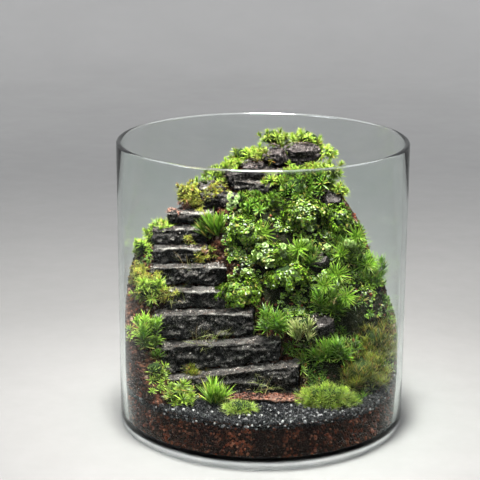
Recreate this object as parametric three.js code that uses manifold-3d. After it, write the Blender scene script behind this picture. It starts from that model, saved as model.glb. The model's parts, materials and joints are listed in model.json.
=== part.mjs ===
// A planted glass jar: a stone stairway climbs a steep mossy bank inside an open cylinder of glass.
// Millimetres, +Z up. The origin is the centre of the jar's underside, and the front looks along -Y.
import * as THREE from 'three';
import { mergeVertices } from 'three/addons/utils/BufferGeometryUtils.js';
import Module from 'manifold-3d';

const wasm = await Module();
wasm.setup();

// Driving dimensions
const JAR_RADIUS = 100;
const JAR_HEIGHT = 202;
const WALL = 3.5;
const BASE = 8;
const HEEL = 4;
const JAR_SIDES = 48;
const SOIL_SIDES = 24;
const GAP = 0.4; // between the soil and the glass, and between two clumps of moss
const LIFT = 0.35; // between a stone, tile or layer and what it lies on
const SOIL_RADIUS = JAR_RADIUS - WALL - GAP;
const GRAVEL_TOP = 33;
const GRAVEL_DEPTH = 4.6;
const GRAVEL_BANK = 15; // how much higher the gravel lies against the glass at the right
const STAIR_FOOT = 34.4;
const SLAB_PIECE = 9; // length of slab for one facet of its broken faces
const SLAB_WEAR = 1.1;
const TILE_SIZE = [70, 12, 2.2];
const TILE_AT = [8, -54.3];
const RIM_CLEARANCE = 2.4; // how far below the rim the highest moss stays
const MOSS_SEAT = 0.5; // how far above the ground's surface a clump's underside lies

// Numbers that look random but are the same on every run
function seeded(seed) {
  let state = seed * 2654435761 >>> 0;
  return () => {
    state = (state + 0x6d2b79f5) >>> 0;
    let t = Math.imul(state ^ (state >>> 15), 1 | state);
    t = (t + Math.imul(t ^ (t >>> 7), 61 | t)) ^ t;
    return ((t ^ (t >>> 14)) >>> 0) / 4294967296;
  };
}

// A smooth bumpy field between -1 and 1
function bumps(x, y, z) {
  return (Math.sin(1.7 * x + 0.9 * z + 0.4) * Math.cos(1.3 * y - 0.6 * x)
    + 0.6 * Math.sin(2.9 * y + 2.3 * z + 1.1) * Math.cos(2.7 * x + 0.5 * y)
    + 0.4 * Math.sin(4.7 * x - 3.9 * z) * Math.cos(4.3 * y + 2.2 * x)) / 2;
}

function ramp(value, from, to) {
  const t = Math.min(1, Math.max(0, (value - from) / (to - from)));
  return t * t * (3 - 2 * t);
}

// Meshes into solids and back, for joins and cuts
function solid(geometry) {
  const bare = geometry.clone();
  bare.deleteAttribute('normal');
  bare.deleteAttribute('uv');
  const merged = mergeVertices(bare, 1e-4);
  return new wasm.Manifold(new wasm.Mesh({
    numProp: 3,
    vertProperties: Float32Array.from(merged.attributes.position.array),
    triVerts: Uint32Array.from(merged.index.array),
  }));
}

function geometryOf(body) {
  const mesh = body.getMesh();
  const geometry = new THREE.BufferGeometry();
  geometry.setAttribute('position', new THREE.BufferAttribute(mesh.vertProperties, 3));
  geometry.setIndex(new THREE.BufferAttribute(mesh.triVerts, 1));
  geometry.computeVertexNormals();
  return geometry;
}

function fromPoints(points, faces) {
  const geometry = new THREE.BufferGeometry();
  geometry.setAttribute('position', new THREE.Float32BufferAttribute(points.flat(), 3));
  geometry.setIndex(faces.flat());
  return geometry;
}

// Only the largest body of a cut solid stays: a loose crumb would fall off
function largest(body) {
  return body.decompose().sort((a, b) => b.volume() - a.volume())[0];
}

// Materials
const GLASS = new THREE.MeshStandardMaterial({ color: '#dfe9e6', roughness: 0.05, metalness: 0 });
const CLAY = new THREE.MeshStandardMaterial({ color: '#6d3320', roughness: 0.95, metalness: 0 });
const LAVA = new THREE.MeshStandardMaterial({ color: '#26262a', roughness: 0.9, metalness: 0 });
const SOIL = new THREE.MeshStandardMaterial({ color: '#33231a', roughness: 1, metalness: 0 });
const TILE = new THREE.MeshStandardMaterial({ color: '#8a4a35', roughness: 0.9, metalness: 0 });
const SLAB = new THREE.MeshStandardMaterial({ color: '#3b3a3c', roughness: 0.85, metalness: 0 });
const ROCK = new THREE.MeshStandardMaterial({ color: '#5a5558', roughness: 0.85, metalness: 0 });
const STAR = new THREE.MeshStandardMaterial({ color: '#9ac93a', roughness: 0.8, metalness: 0 });
const GOLD = new THREE.MeshStandardMaterial({ color: '#a39a2c', roughness: 0.8, metalness: 0 });
const NEEDLE = new THREE.MeshStandardMaterial({ color: '#4c8f2a', roughness: 0.75, metalness: 0 });
const LEAFY = new THREE.MeshStandardMaterial({ color: '#6fae4a', roughness: 0.6, metalness: 0 });
const CUSHION = new THREE.MeshStandardMaterial({ color: '#86b53a', roughness: 0.85, metalness: 0 });
const FUZZ = new THREE.MeshStandardMaterial({ color: '#5c5a24', roughness: 0.95, metalness: 0 });

const terrarium = new THREE.Group();

function place(name, geometry, material) {
  const mesh = new THREE.Mesh(geometry, material);
  mesh.name = name;
  terrarium.add(mesh);
}

// Jar: one turned wall with a thick base, a rounded heel and a fire-polished rim
function jarProfile() {
  const arc = (cx, cz, radius, from, to, steps) => Array.from({ length: steps + 1 }, (_, i) => {
    const angle = THREE.MathUtils.degToRad(from + (to - from) * i / steps);
    return new THREE.Vector2(cx + radius * Math.cos(angle), cz + radius * Math.sin(angle));
  });
  return [
    new THREE.Vector2(0, 0),
    ...arc(JAR_RADIUS - HEEL, HEEL, HEEL, -90, 0, 3),
    ...arc(JAR_RADIUS - WALL / 2, JAR_HEIGHT - WALL / 2, WALL / 2, 0, 180, 4),
    new THREE.Vector2(JAR_RADIUS - WALL, BASE),
    new THREE.Vector2(0, BASE),
  ];
}
place('glass_jar', new THREE.LatheGeometry(jarProfile(), JAR_SIDES).rotateX(Math.PI / 2), GLASS);

// The bank: spots of ground height, x, y, z, blended smoothly between each other
const GROUND_SPOTS = [
  // Along the glass, from the front round by the left, the back and the right
  [0, -97, 24], [-47, -85, 24], [-64, -73, 27], [-75, -62, 40], [-84, -50, 54], [-90, -36, 70],
  [-96, 0, 92], [-91, 32, 108], [-74, 62, 120], [-45, 86, 136], [0, 97, 160], [36, 90, 164],
  [62, 75, 132], [84, 49, 98], [95, 18, 76], [95, -18, 46], [89, -38, 34], [80, -55, 26],
  [60, -77, 24], [30, -92, 24],
  // The line of the stairs
  [-50, -50, 32], [-25, -52, 31], [0, -52, 31], [22, -52, 31], [-10, -60, 29], [25, -60, 29],
  [-20, -36, 48], [-29, -30, 60], [-41, -18, 78], [-50, -6, 92],
  [-55, 5, 105], [-60, 15, 116], [-60, 25, 127], [-52, 35, 136], [-33, 43, 146], [-8, 50, 156],
  [2, 58, 168], [28, 70, 174],
  // The shoulder behind the upper stairs
  [-12, 68, 172], [7, 77, 180], [30, 77, 182], [46, 62, 162], [-27, 62, 163], [-34, 52, 156],
  [-54, 44, 146], [-74, 30, 124], [-86, 24, 115],
  // The mossy slope to their right
  [28, 58, 161], [50, 56, 154], [50, 40, 134], [60, 54, 128], [64, 40, 112], [30, 30, 136],
  [5, 34, 140], [-15, 20, 126],
  [20, 0, 108], [55, 8, 108], [76, 5, 92], [25, -28, 78], [60, -25, 66], [84, -22, 50],
  [40, -45, 44], [62, -48, 37], [-5, -15, 94],
  // The front
  [0, -75, 26], [-35, -72, 28], [42, -74, 27],
];

function ground(x, y) {
  let sum = 0;
  let weights = 0;
  for (const [sx, sy, sz] of GROUND_SPOTS) {
    const weight = ((sx - x) ** 2 + (sy - y) ** 2 + 16) ** -1.6;
    sum += weight * sz;
    weights += weight;
  }
  return sum / weights + 0.7 * bumps(x / 9, y / 9, 0);
}

function gravelTop(x, y) {
  return GRAVEL_TOP + GRAVEL_BANK * ramp(x, 68, 95) * ramp(y, -72, -12) + 0.4 * bumps(x / 6, y / 6, 3);
}

function clayTop(x, y) {
  return gravelTop(x, y) - GRAVEL_DEPTH + 1.6 * ramp(y, -60, 20);
}

// A round column of ground between two height rules, on one polar grid
function column(bottom, top, radii) {
  const points = [];
  const faces = [];
  const sheet = (height, outward) => {
    const first = points.length;
    points.push([0, 0, height(0, 0)]);
    for (const radius of radii) {
      for (let i = 0; i < SOIL_SIDES; i++) {
        const angle = 2 * Math.PI * i / SOIL_SIDES;
        const [x, y] = [radius * Math.cos(angle), radius * Math.sin(angle)];
        points.push([x, y, height(x, y)]);
      }
    }
    const at = (ring, i) => first + 1 + ring * SOIL_SIDES + i % SOIL_SIDES;
    const add = (a, b, c) => faces.push(outward ? [a, b, c] : [a, c, b]);
    for (let i = 0; i < SOIL_SIDES; i++) {
      add(first, at(0, i), at(0, i + 1));
      for (let ring = 0; ring + 1 < radii.length; ring++) {
        add(at(ring, i), at(ring + 1, i), at(ring + 1, i + 1));
        add(at(ring, i), at(ring + 1, i + 1), at(ring, i + 1));
      }
    }
    return (i) => at(radii.length - 1, i);
  };
  const low = sheet(bottom, false);
  const high = sheet(top, true);
  for (let i = 0; i < SOIL_SIDES; i++) {
    faces.push([low(i), low(i + 1), high(i + 1)], [low(i), high(i + 1), high(i)]);
  }
  return solid(fromPoints(points, faces));
}

const LAYER_RADII = [40, 66, 84, SOIL_RADIUS];
const BANK_RADII = [14, 28, 41, 54, 66, 77, 87, SOIL_RADIUS];

place('clay_granules', geometryOf(column(() => BASE + LIFT, clayTop, LAYER_RADII)), CLAY);
const gravelAndBelow = column(() => BASE + LIFT, (x, y) => gravelTop(x, y) + LIFT, LAYER_RADII);
const bankAndBelow = column(() => BASE + LIFT, (x, y) => ground(x, y), BANK_RADII);
const groundKeepOut = column(() => 0, (x, y) => ground(x, y) + MOSS_SEAT, BANK_RADII).add(gravelAndBelow);
const insideGlass = column(() => BASE + 1, () => JAR_HEIGHT - RIM_CLEARANCE, [SOIL_RADIUS]);

// Stairs: rough slabs, each with its back tucked under the next. left and right are the ends of
// the front edge of the tread, as x and height.
const STAIRS = [
  { y: -47, left: [-64, 43.8], right: [27, 55.6], deep: 16, turn: 0 },
  { y: -35, left: [-70, 64], right: [14, 68.4], deep: 16, turn: 0 },
  { y: -23, left: [-75, 82.3], right: [-5, 85.1], deep: 16, turn: 0 },
  { y: -11, left: [-67, 96.7], right: [-25, 97], deep: 15, turn: 0 },
  { y: 0, left: [-79, 110], right: [-25, 111.2], deep: 14, turn: 0 },
  { y: 10, left: [-78, 121.7], right: [-38, 121.4], deep: 14, turn: 0 },
  { y: 20, left: [-79, 132], right: [-40, 133], deep: 14, turn: 0 },
  { y: 30, left: [-69, 141.4], right: [-34, 141.8], deep: 14, turn: 0 },
  { y: 38, left: [-46, 153], right: [-14, 150.5], deep: 14, turn: -8 },
  { y: 46, left: [-22, 159.5], right: [6, 157], deep: 14, turn: -14 },
  { y: 54, left: [-10, 169.5], right: [16, 168], deep: 16, turn: -18 },
];

function treadHeight(step, x) {
  const [[x0, z0], [x1, z1]] = [step.left, step.right];
  return z0 + (z1 - z0) * (x - x0) / (x1 - x0);
}

// One slab as a roughened box. grow thickens it all round. A lid height and no detail give the
// plain block of space that the bank leaves free for it.
function slab(index, grow = 0, lid = null, detail = true) {
  const step = STAIRS[index];
  const below = STAIRS[index - 1];
  const [x0, x1] = [step.left[0], step.right[0]];
  const columns = Math.round((x1 - x0) / SLAB_PIECE);
  const box = detail ? new THREE.BoxGeometry(1, 1, 1, columns, 1, 2) : new THREE.BoxGeometry();
  const position = box.attributes.position;
  const turn = THREE.MathUtils.degToRad(step.turn);
  for (let i = 0; i < position.count; i++) {
    const [s, d, h] = [position.getX(i), position.getY(i), position.getZ(i)];
    const rough = (salt) => (detail
      ? bumps(s * columns * 0.9 + salt, d * 2 + index, h * 2 + 2 * index) : 0);
    const front = d < -0.4 ? 1 : 0;
    const upper = h > 0.4 ? 1 : 0;
    const end = Math.abs(s) > 0.49 ? Math.sign(s) : 0;
    const reach = s * (x1 - x0) + end * (SLAB_WEAR * (1.5 * rough(5) - 1) + grow);
    const worn = front * SLAB_WEAR * (rough(1) - 0.2 + 0.8 * upper);
    const back = (d + 0.5) * step.deep + worn + Math.sign(d) * grow;
    const x = (x0 + x1) / 2 + reach * Math.cos(turn) - back * Math.sin(turn);
    const y = step.y + reach * Math.sin(turn) + back * Math.cos(turn);
    const foot = below ? treadHeight(below, x) + LIFT : STAIR_FOOT;
    const tread = treadHeight(step, x) - upper * SLAB_WEAR * 0.4 * (1 + rough(3));
    let z = foot + (h + 0.5) * (tread - foot);
    if (h < -0.4) z = foot - Math.min(grow, LIFT);
    if (upper) z = lid ?? tread + grow;
    position.setXYZ(i, x, y, z);
  }
  return solid(box);
}

const stairSolids = STAIRS.map((_, i) => slab(i));
const stairKeepOut = STAIRS.map((_, i) => slab(i, LIFT));
const stairClearing = STAIRS.map((_, i) => slab(i, 2, JAR_HEIGHT + 20, false));
stairSolids.forEach((body, i) => {
  place(`stair_slab_${String(i + 1).padStart(2, '0')}`, geometryOf(body), SLAB);
});

// Path tile: a flat clay strip lying on the gravel before the lowest slab
function pathTile(grow = 0) {
  const sides = TILE_SIZE.map((side) => side + 2 * grow);
  const box = new THREE.BoxGeometry(...sides, 10, 1, 1);
  const position = box.attributes.position;
  for (let i = 0; i < position.count; i++) {
    const front = position.getY(i) < 0 ? 1 : 0;
    position.setY(i, position.getY(i) + front * 0.6 * bumps(position.getX(i) / 5, 2, 0));
  }
  return solid(box.translate(...TILE_AT, GRAVEL_TOP + 0.8 + TILE_SIZE[2] / 2));
}
place('path_tile', geometryOf(pathTile()), TILE);

// Rocks: centre, half sizes and turn about the vertical of each
const ROCKS = {
  rock_crest_left: { at: [8, 69, 176], half: [12, 9, 11], turn: 20 },
  rock_crest_top: { at: [30, 71, 177], half: [16, 10, 11], turn: -8 },
  rock_crest_low: { at: [-8, 63, 168], half: [15, 9, 8], turn: 12 },
  rock_winding: { at: [-18, 56, 160], half: [14, 8, 8], turn: 5 },
  rock_shoulder: { at: [-37, 51, 152], half: [13, 9, 9], turn: -6 },
  rock_slope_upper: { at: [51, 49, 144], half: [9, 8, 11], turn: 30 },
  rock_slope_middle: { at: [39, 8, 112], half: [11, 9, 9], turn: 10 },
  rock_slope_lower: { at: [42, -24, 76], half: [11, 9, 10], turn: -20 },
};
const ROCK_CUTS = 9;

// A rock is a ball with flats broken off it, roughened a little
function rock(index, grow = 0) {
  const spec = Object.values(ROCKS)[index];
  const random = seeded(40 + index);
  const flats = Array.from({ length: ROCK_CUTS }, () => ({
    normal: new THREE.Vector3(random() - 0.5, random() - 0.5, random() - 0.5).normalize(),
    depth: 0.62 + 0.2 * random(),
  }));
  flats.push({ normal: new THREE.Vector3(0.1, -0.1, 1).normalize(), depth: 0.75 });
  const ball = new THREE.IcosahedronGeometry(1, index < 2 ? 2 : 1);
  const position = ball.attributes.position;
  const v = new THREE.Vector3();
  for (let i = 0; i < position.count; i++) {
    v.fromBufferAttribute(position, i).normalize();
    const cut = flats.map(({ normal, depth }) => depth / Math.max(0.01, v.dot(normal)));
    const rough = 1 + 0.05 * bumps(4 * v.x + index, 4 * v.y, 4 * v.z);
    v.multiplyScalar(Math.min(1, ...cut) * rough);
    v.multiply(new THREE.Vector3(...spec.half)).setLength(v.length() + grow * 1.5);
    position.setXYZ(i, v.x, v.y, v.z);
  }
  ball.rotateZ(THREE.MathUtils.degToRad(spec.turn)).translate(...spec.at);
  return solid(ball);
}

const rockNames = Object.keys(ROCKS);
const rockKeepOut = rockNames.map((_, i) => rock(i, LIFT));
rockNames.forEach((name, i) => {
  let body = rock(i).intersect(insideGlass);
  stairKeepOut.forEach((cut) => { body = body.subtract(cut); });
  rockKeepOut.slice(0, i).forEach((cut) => { body = body.subtract(cut); });
  place(name, geometryOf(largest(body)), ROCK);
});

// The gravel keeps clear of the tile's underside, and the bank is cut round slabs and rocks
const gravel = column(() => BASE + LIFT, gravelTop, LAYER_RADII)
  .subtract(column(() => 0, (x, y) => clayTop(x, y) + LIFT, LAYER_RADII));
place('black_gravel', geometryOf(largest(gravel.subtract(pathTile(LIFT)))), LAVA);
let bank = bankAndBelow.subtract(gravelAndBelow).subtract(pathTile(LIFT));
[...stairClearing, ...rockKeepOut].forEach((cut) => { bank = bank.subtract(cut); });
place('soil_bank', geometryOf(largest(bank)), SOIL);

// Moss. Every kind rises from a small closed core: each upper face of the core grows one needle,
// or one blunt leaf, that stays inside its own cone, so that no two of them cross.
function tuft({ half, detail, length, leaf = 0, splay = false, seed, from = 0.05, lump = 0.12 }) {
  const core = mergeVertices(bareIcosahedron(detail), 1e-4);
  const random = seeded(seed);
  const [unit, index] = [core.attributes.position, core.index.array];
  const scale = new THREE.Vector3(...half);
  const point = (direction, above) => {
    const swell = 1 + lump * bumps(3 * direction.x + seed, 3 * direction.y, 3 * direction.z);
    const p = direction.clone().multiplyScalar(swell).multiply(scale);
    return p.setLength(p.length() + above);
  };
  const vertices = Array.from({ length: unit.count }, (_, i) =>
    new THREE.Vector3().fromBufferAttribute(unit, i).normalize());
  const points = vertices.map((v) => point(v, 0));
  const faces = [];
  for (let i = 0; i < index.length; i += 3) {
    const [a, b, c] = index.slice(i, i + 3);
    const middle = new THREE.Vector3();
    const shoot = nearestShoot(vertices[a].clone().add(vertices[b]).add(vertices[c]));
    [a, b, c].forEach((v) => {
      const away = splay ? vertices[v].distanceTo(shoot) ** 2 : 0.3;
      middle.addScaledVector(vertices[v], 0.02 + away * (0.7 + 0.6 * random()));
    });
    middle.normalize();
    const tall = length * (0.65 + 0.5 * random());
    if (middle.z < from) {
      faces.push([a, b, c]);
    } else if (!leaf) {
      points.push(point(middle, tall));
      const tip = points.length - 1;
      faces.push([a, b, tip], [b, c, tip], [c, a, tip]);
    } else {
      const first = points.length;
      [a, b, c].forEach((v) => {
        const corner = vertices[v].clone().lerp(middle, 1 - leaf * (0.7 + 0.3 * random()));
        points.push(point(corner.normalize(), tall * (0.6 + 0.6 * random())));
      });
      const [d, e, f] = [first, first + 1, first + 2];
      faces.push([a, b, e], [a, e, d], [b, c, f], [b, f, e], [c, a, d], [c, d, f], [d, e, f]);
    }
  }
  return fromPoints(points.map((p) => p.toArray()), faces);
}

// The twelve corners of the icosahedron are the hearts of twelve star-shaped shoots
const SHOOTS = (() => {
  const corners = mergeVertices(bareIcosahedron(0), 1e-4).attributes.position;
  return Array.from({ length: corners.count }, (_, i) =>
    new THREE.Vector3().fromBufferAttribute(corners, i));
})();

function nearestShoot(direction) {
  return SHOOTS.reduce((best, shoot) => (shoot.dot(direction) > best.dot(direction) ? shoot : best));
}

function bareIcosahedron(detail) {
  const ball = new THREE.IcosahedronGeometry(1, detail);
  ball.deleteAttribute('normal');
  ball.deleteAttribute('uv');
  return ball;
}

const KINDS = {
  star: { material: STAR, habit: { detail: 2, length: 5.5, splay: true, lump: 0.3 } },
  gold: { material: GOLD, habit: { detail: 1, length: 3.6, lump: 0.3 } },
  needle: { material: NEEDLE, habit: { detail: 2 } },
  leafy: { material: LEAFY, habit: { detail: 1, length: 6, leaf: 0.5, lump: 0.3, from: 0.2 } },
  cushion: { material: CUSHION, habit: { detail: 2, length: 4, lump: 0.2 } },
  fuzz: { material: FUZZ, habit: { detail: 2, length: 4.5, lump: 0.25 } },
};

// Each clump: its kind, its place on the ground as x and y, the half sizes of its core, the
// length of its needles where it differs, and how far its core sits above the ground there
const MOSS = {
  moss_crest_left: { kind: 'star', at: [-13, 73], half: [12, 7, 7], rise: 4, detail: 1 },
  moss_crest_middle: { kind: 'star', at: [9, 82], half: [13, 8, 7], rise: 7, detail: 1 },
  moss_crest_right: { kind: 'star', at: [34, 81], half: [14, 9, 7], rise: 8, detail: 1 },
  moss_tower: { kind: 'star', at: [49, 66], half: [9, 9, 10], rise: 4, detail: 1 },
  moss_ridge: { kind: 'star', at: [-31, 65], half: [11, 7, 6], rise: 2, detail: 1 },
  moss_ridge_low: { kind: 'star', at: [-41, 60], half: [9, 6, 6], rise: 0, detail: 1 },
  moss_golden_left: { kind: 'gold', at: [-53, 46], half: [11, 8, 9], rise: 4 },
  moss_star_left: { kind: 'star', at: [-75, 36], half: [14, 8, 7], rise: 4, detail: 1 },
  moss_star_small: { kind: 'star', at: [-88, 21], half: [7, 8, 6], rise: 3, detail: 1 },
  moss_olive_left: { kind: 'gold', at: [-86, 5], half: [8, 9, 8], rise: 2 },
  moss_star_middle: { kind: 'star', at: [-78, -10], half: [12, 9, 7], rise: 3, detail: 1 },
  moss_tuft_left: { kind: 'needle', at: [-80, -33], half: [8, 8, 8], rise: 3, length: 14 },
  moss_star_low: { kind: 'star', at: [-72, -47], half: [7, 7, 5], rise: 2, detail: 1 },
  moss_star_front: { kind: 'star', at: [-51, -61], half: [15, 8, 7], rise: 2 },
  moss_tuft_front: { kind: 'needle', at: [-33, -61], half: [6, 6, 6], rise: 2, length: 13, detail: 1 },
  moss_cushion_front: { kind: 'cushion', at: [-14, -75], half: [15, 8, 6], rise: 0 },
  moss_cushion_right: { kind: 'cushion', at: [44, -61], half: [22, 11, 12], rise: 1 },
  moss_fuzz_low: { kind: 'fuzz', at: [67, -37], half: [19, 14, 12], rise: 0 },
  moss_fuzz_right: { kind: 'fuzz', at: [80, -11], half: [14, 16, 12], rise: 2, detail: 1 },
  moss_tuft_mass: { kind: 'needle', at: [51, -32], half: [13, 9, 11], rise: 2, length: 8, detail: 1 },
  moss_tuft_olive: { kind: 'needle', at: [28, -31], half: [9, 7, 9], rise: 2, length: 10, detail: 1 },
  moss_tuft_dark: { kind: 'needle', at: [11, -24], half: [10, 7, 11], rise: 1, length: 7, detail: 1 },
  moss_leafy_dark: { kind: 'leafy', at: [19, -8], half: [13, 9, 9], rise: 1 },
  moss_leafy_low: { kind: 'leafy', at: [-14, -7], half: [15, 12, 11], rise: 0 },
  moss_tuft_right: { kind: 'needle', at: [47, -9], half: [11, 8, 10], rise: 2, length: 12 },
  moss_tuft_glass: { kind: 'needle', at: [76, 22], half: [10, 12, 9], rise: 3, length: 10, detail: 1 },
  moss_tuft_upper: { kind: 'needle', at: [60, 21], half: [11, 9, 10], rise: 3, length: 11, detail: 1 },
  moss_needle_middle: { kind: 'needle', at: [27, 10], half: [9, 8, 10], rise: 2, length: 9, detail: 1 },
  moss_leafy_pale: { kind: 'leafy', at: [6, 9], half: [13, 10, 10], rise: 1 },
  moss_leafy_centre: { kind: 'leafy', at: [-13, 18], half: [14, 12, 11], rise: 1 },
  moss_feather: { kind: 'needle', at: [-34, 24], half: [5, 5, 5], rise: 2, length: 14, detail: 1 },
  moss_green_upper: { kind: 'needle', at: [-2, 37], half: [17, 10, 10], rise: 1, length: 6, detail: 1 },
  moss_leafy_side: { kind: 'leafy', at: [30, 29], half: [16, 12, 12], rise: 1 },
  moss_star_side: { kind: 'star', at: [42, 57], half: [12, 10, 9], rise: 0, detail: 1 },
  moss_leafy_right: { kind: 'leafy', at: [53, 37], half: [9, 12, 9], rise: 0 },
  moss_star_slope: { kind: 'star', at: [24, 47], half: [17, 9, 8], rise: 1, detail: 1 },
};

// How far each side of a clump the slope is taken that it leans away from
const LEAN_STEP = 6;

// Where two clumps meet, a plane between them keeps both clear
function cellOf(name, centres) {
  const here = centres[name];
  return Object.keys(centres).filter((other) => other !== name).map((other) => {
    const there = centres[other];
    const along = there.at.clone().sub(here.at);
    const apart = along.length();
    const share = apart / 2 + (here.size ** 2 - there.size ** 2) / (2 * apart);
    return { near: apart < here.size + there.size, along: along.normalize(), share };
  }).filter((wall) => wall.near);
}

const centres = Object.fromEntries(Object.entries(MOSS).map(([name, clump]) => {
  const [x, y] = clump.at;
  const reach = clump.kind === 'needle' ? clump.length : 5;
  const at = new THREE.Vector3(x, y, Math.max(ground(x, y), gravelTop(x, y)) + clump.rise);
  return [name, { at, size: (clump.half[0] + clump.half[1]) / 2 + reach }];
}));

Object.entries(MOSS).forEach(([name, clump], i) => {
  const { at } = centres[name];
  const lean = new THREE.Vector3(
    ground(at.x - LEAN_STEP, at.y) - ground(at.x + LEAN_STEP, at.y),
    ground(at.x, at.y - LEAN_STEP) - ground(at.x, at.y + LEAN_STEP),
    4 * LEAN_STEP,
  ).normalize();
  const tilt = new THREE.Quaternion().setFromUnitVectors(new THREE.Vector3(0, 0, 1), lean);
  const { material, habit } = KINDS[clump.kind];
  const shape = tuft({ ...habit, ...clump, seed: i + 1 });
  let body = solid(shape.applyQuaternion(tilt).translate(...at.toArray())).intersect(insideGlass);
  cellOf(name, centres).forEach(({ along, share }) => {
    const inward = along.clone().negate();
    body = body.trimByPlane(inward.toArray(), inward.dot(at) - share + GAP / 2);
  });
  body = body.subtract(groundKeepOut).subtract(pathTile(LIFT));
  [...stairKeepOut, ...rockKeepOut].forEach((cut) => { body = body.subtract(cut); });
  place(name, geometryOf(largest(body)), material);
});

export default terrarium;
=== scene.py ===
# %% [markdown]
# # A planted glass jar, piece by piece
# This lesson builds the looks of a glass jar terrarium on a finished frame of solids.
# The frame gives every stone, layer and moss clump its place. Each cell makes one kind
# of surface: glass, granules, gravel, soil, stone, and then six kinds of moss, which are
# all leaves of real mesh so that they cast shadows on each other.

# %% Start from the frame
import json
import math
from itertools import product

import bpy
import numpy as np
from mathutils import Matrix, Vector
from mathutils.bvhtree import BVHTree


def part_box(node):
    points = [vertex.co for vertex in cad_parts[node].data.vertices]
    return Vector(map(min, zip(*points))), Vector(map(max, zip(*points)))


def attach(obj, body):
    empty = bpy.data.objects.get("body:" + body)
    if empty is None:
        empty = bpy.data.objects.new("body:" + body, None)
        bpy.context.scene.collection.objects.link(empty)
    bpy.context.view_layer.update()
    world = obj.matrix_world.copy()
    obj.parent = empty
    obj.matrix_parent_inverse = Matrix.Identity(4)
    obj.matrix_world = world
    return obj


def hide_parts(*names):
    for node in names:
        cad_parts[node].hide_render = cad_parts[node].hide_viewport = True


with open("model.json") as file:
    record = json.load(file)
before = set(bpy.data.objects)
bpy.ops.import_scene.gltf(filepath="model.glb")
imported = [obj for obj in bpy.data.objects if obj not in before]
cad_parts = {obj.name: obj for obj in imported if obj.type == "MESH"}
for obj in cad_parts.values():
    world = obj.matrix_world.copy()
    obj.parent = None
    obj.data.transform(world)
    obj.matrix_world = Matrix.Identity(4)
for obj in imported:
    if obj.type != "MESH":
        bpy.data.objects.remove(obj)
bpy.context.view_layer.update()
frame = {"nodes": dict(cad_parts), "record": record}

nodes = frame["nodes"]
MM = 0.001
EYE = Vector((0.0, -1.0055, 0.4058))  # where the photograph was taken from

# %% [markdown]
# The first helper turns arrays of points and triangles into an object. It can carry three
# numbers for each point in a colour layer called `tone`. For moss they are how far along its
# leaf a point is, a random number for its leaf, and one for its shoot. The materials read
# them. Without such numbers every leaf would have the same green from end to end.

# %% A mesh from arrays
scene = bpy.context.scene
made = {}


def mesh_piece(name, points, triangles, finish, slot, tone=None, smooth=True, stands_for=()):
    mesh = bpy.data.meshes.new(name)
    points = np.ascontiguousarray(points, np.float32)
    triangles = np.ascontiguousarray(triangles, np.int32)
    mesh.vertices.add(len(points))
    mesh.vertices.foreach_set("co", points.ravel())
    mesh.loops.add(triangles.size)
    mesh.loops.foreach_set("vertex_index", triangles.ravel())
    mesh.polygons.add(len(triangles))
    mesh.polygons.foreach_set("loop_start", np.arange(0, triangles.size, 3, dtype=np.int32))
    mesh.polygons.foreach_set("use_smooth", np.full(len(triangles), smooth))
    mesh.materials.append(finish.material)
    if tone is not None:
        layer = mesh.color_attributes.new("tone", "FLOAT_COLOR", "POINT")
        layer.data.foreach_set("color", np.c_[tone, np.ones(len(tone))].astype(np.float32).ravel())
    mesh.update(calc_edges=True)
    piece = bpy.data.objects.new(name, mesh)
    scene.collection.objects.link(piece)
    if stands_for:
        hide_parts(*stands_for)
    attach(piece, "root")
    made[name] = len(triangles)
    print(f"{name}: {len(triangles)} triangles")


def triples(a, b, c):
    """Rows of three numbers: the coordinates of points, or the corners of triangles."""
    return np.stack(np.broadcast_arrays(a, b, c), -1)


def copies(faces, count, per):
    """Triangles for many copies of a small shape that has `per` points."""
    return (np.array(faces)[None] + (np.arange(count) * per)[:, None, None]).reshape(-1, 3)


# %% [markdown]
# Natural surfaces are lumpy at many sizes at once. `lumps` is a smooth random field made
# from a lattice of fixed random values, so it gives the same shape in every run. `rough`
# adds three such fields, each finer and weaker than the one before.

# %% Smooth random fields
HASH_X, HASH_Y, HASH_Z, HASH_SEED, HASH_STIR = 73856093, 19349663, 83492791, 7919, 1274126177


def ease(part):
    return part * part * (3 - 2 * part)


def lumps(points, size, seed=0):
    """Smooth values from -1 to 1 whose hills are about `size` metres apart."""
    scaled = np.asarray(points, float) / size + 1000.0
    cell = np.floor(scaled).astype(np.int64)
    part = ease(scaled - cell)
    total = np.zeros(len(scaled))
    for corner in product((0, 1), repeat=3):
        x, y, z = (cell + np.array(corner)).T
        code = (x * HASH_X) ^ (y * HASH_Y) ^ (z * HASH_Z) ^ (seed * HASH_SEED + 17)
        code = ((code ^ (code >> 13)) * HASH_STIR) & 0xFFFFFFFF
        code = code ^ (code >> 16)
        weight = np.prod(np.where(np.array(corner) == 1, part, 1 - part), axis=1)
        total += weight * ((code & 0xFFFF) / 32767.5 - 1)
    return total


def rough(points, size, seed=0):
    return (lumps(points, size, seed) + 0.5 * lumps(points, size / 2.1, seed + 1)
            + 0.25 * lumps(points, size / 4.3, seed + 2)) / 1.4


def unit(vectors):
    return vectors / np.maximum(np.linalg.norm(vectors, axis=-1, keepdims=True), 1e-9)


def ramp(value, low, high):
    """0 below `low`, 1 above `high`, and an even curve between."""
    return ease(np.clip((np.asarray(value, float) - low) / (high - low), 0, 1))


# %% [markdown]
# Materials are node trees. `Finish` is a short way to write one: each method adds a node
# and returns its output, so that a colour can be read from the inside out. Texture
# coordinates are the object's own, in metres, so a scale of 500 gives detail of 2 mm.

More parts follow.
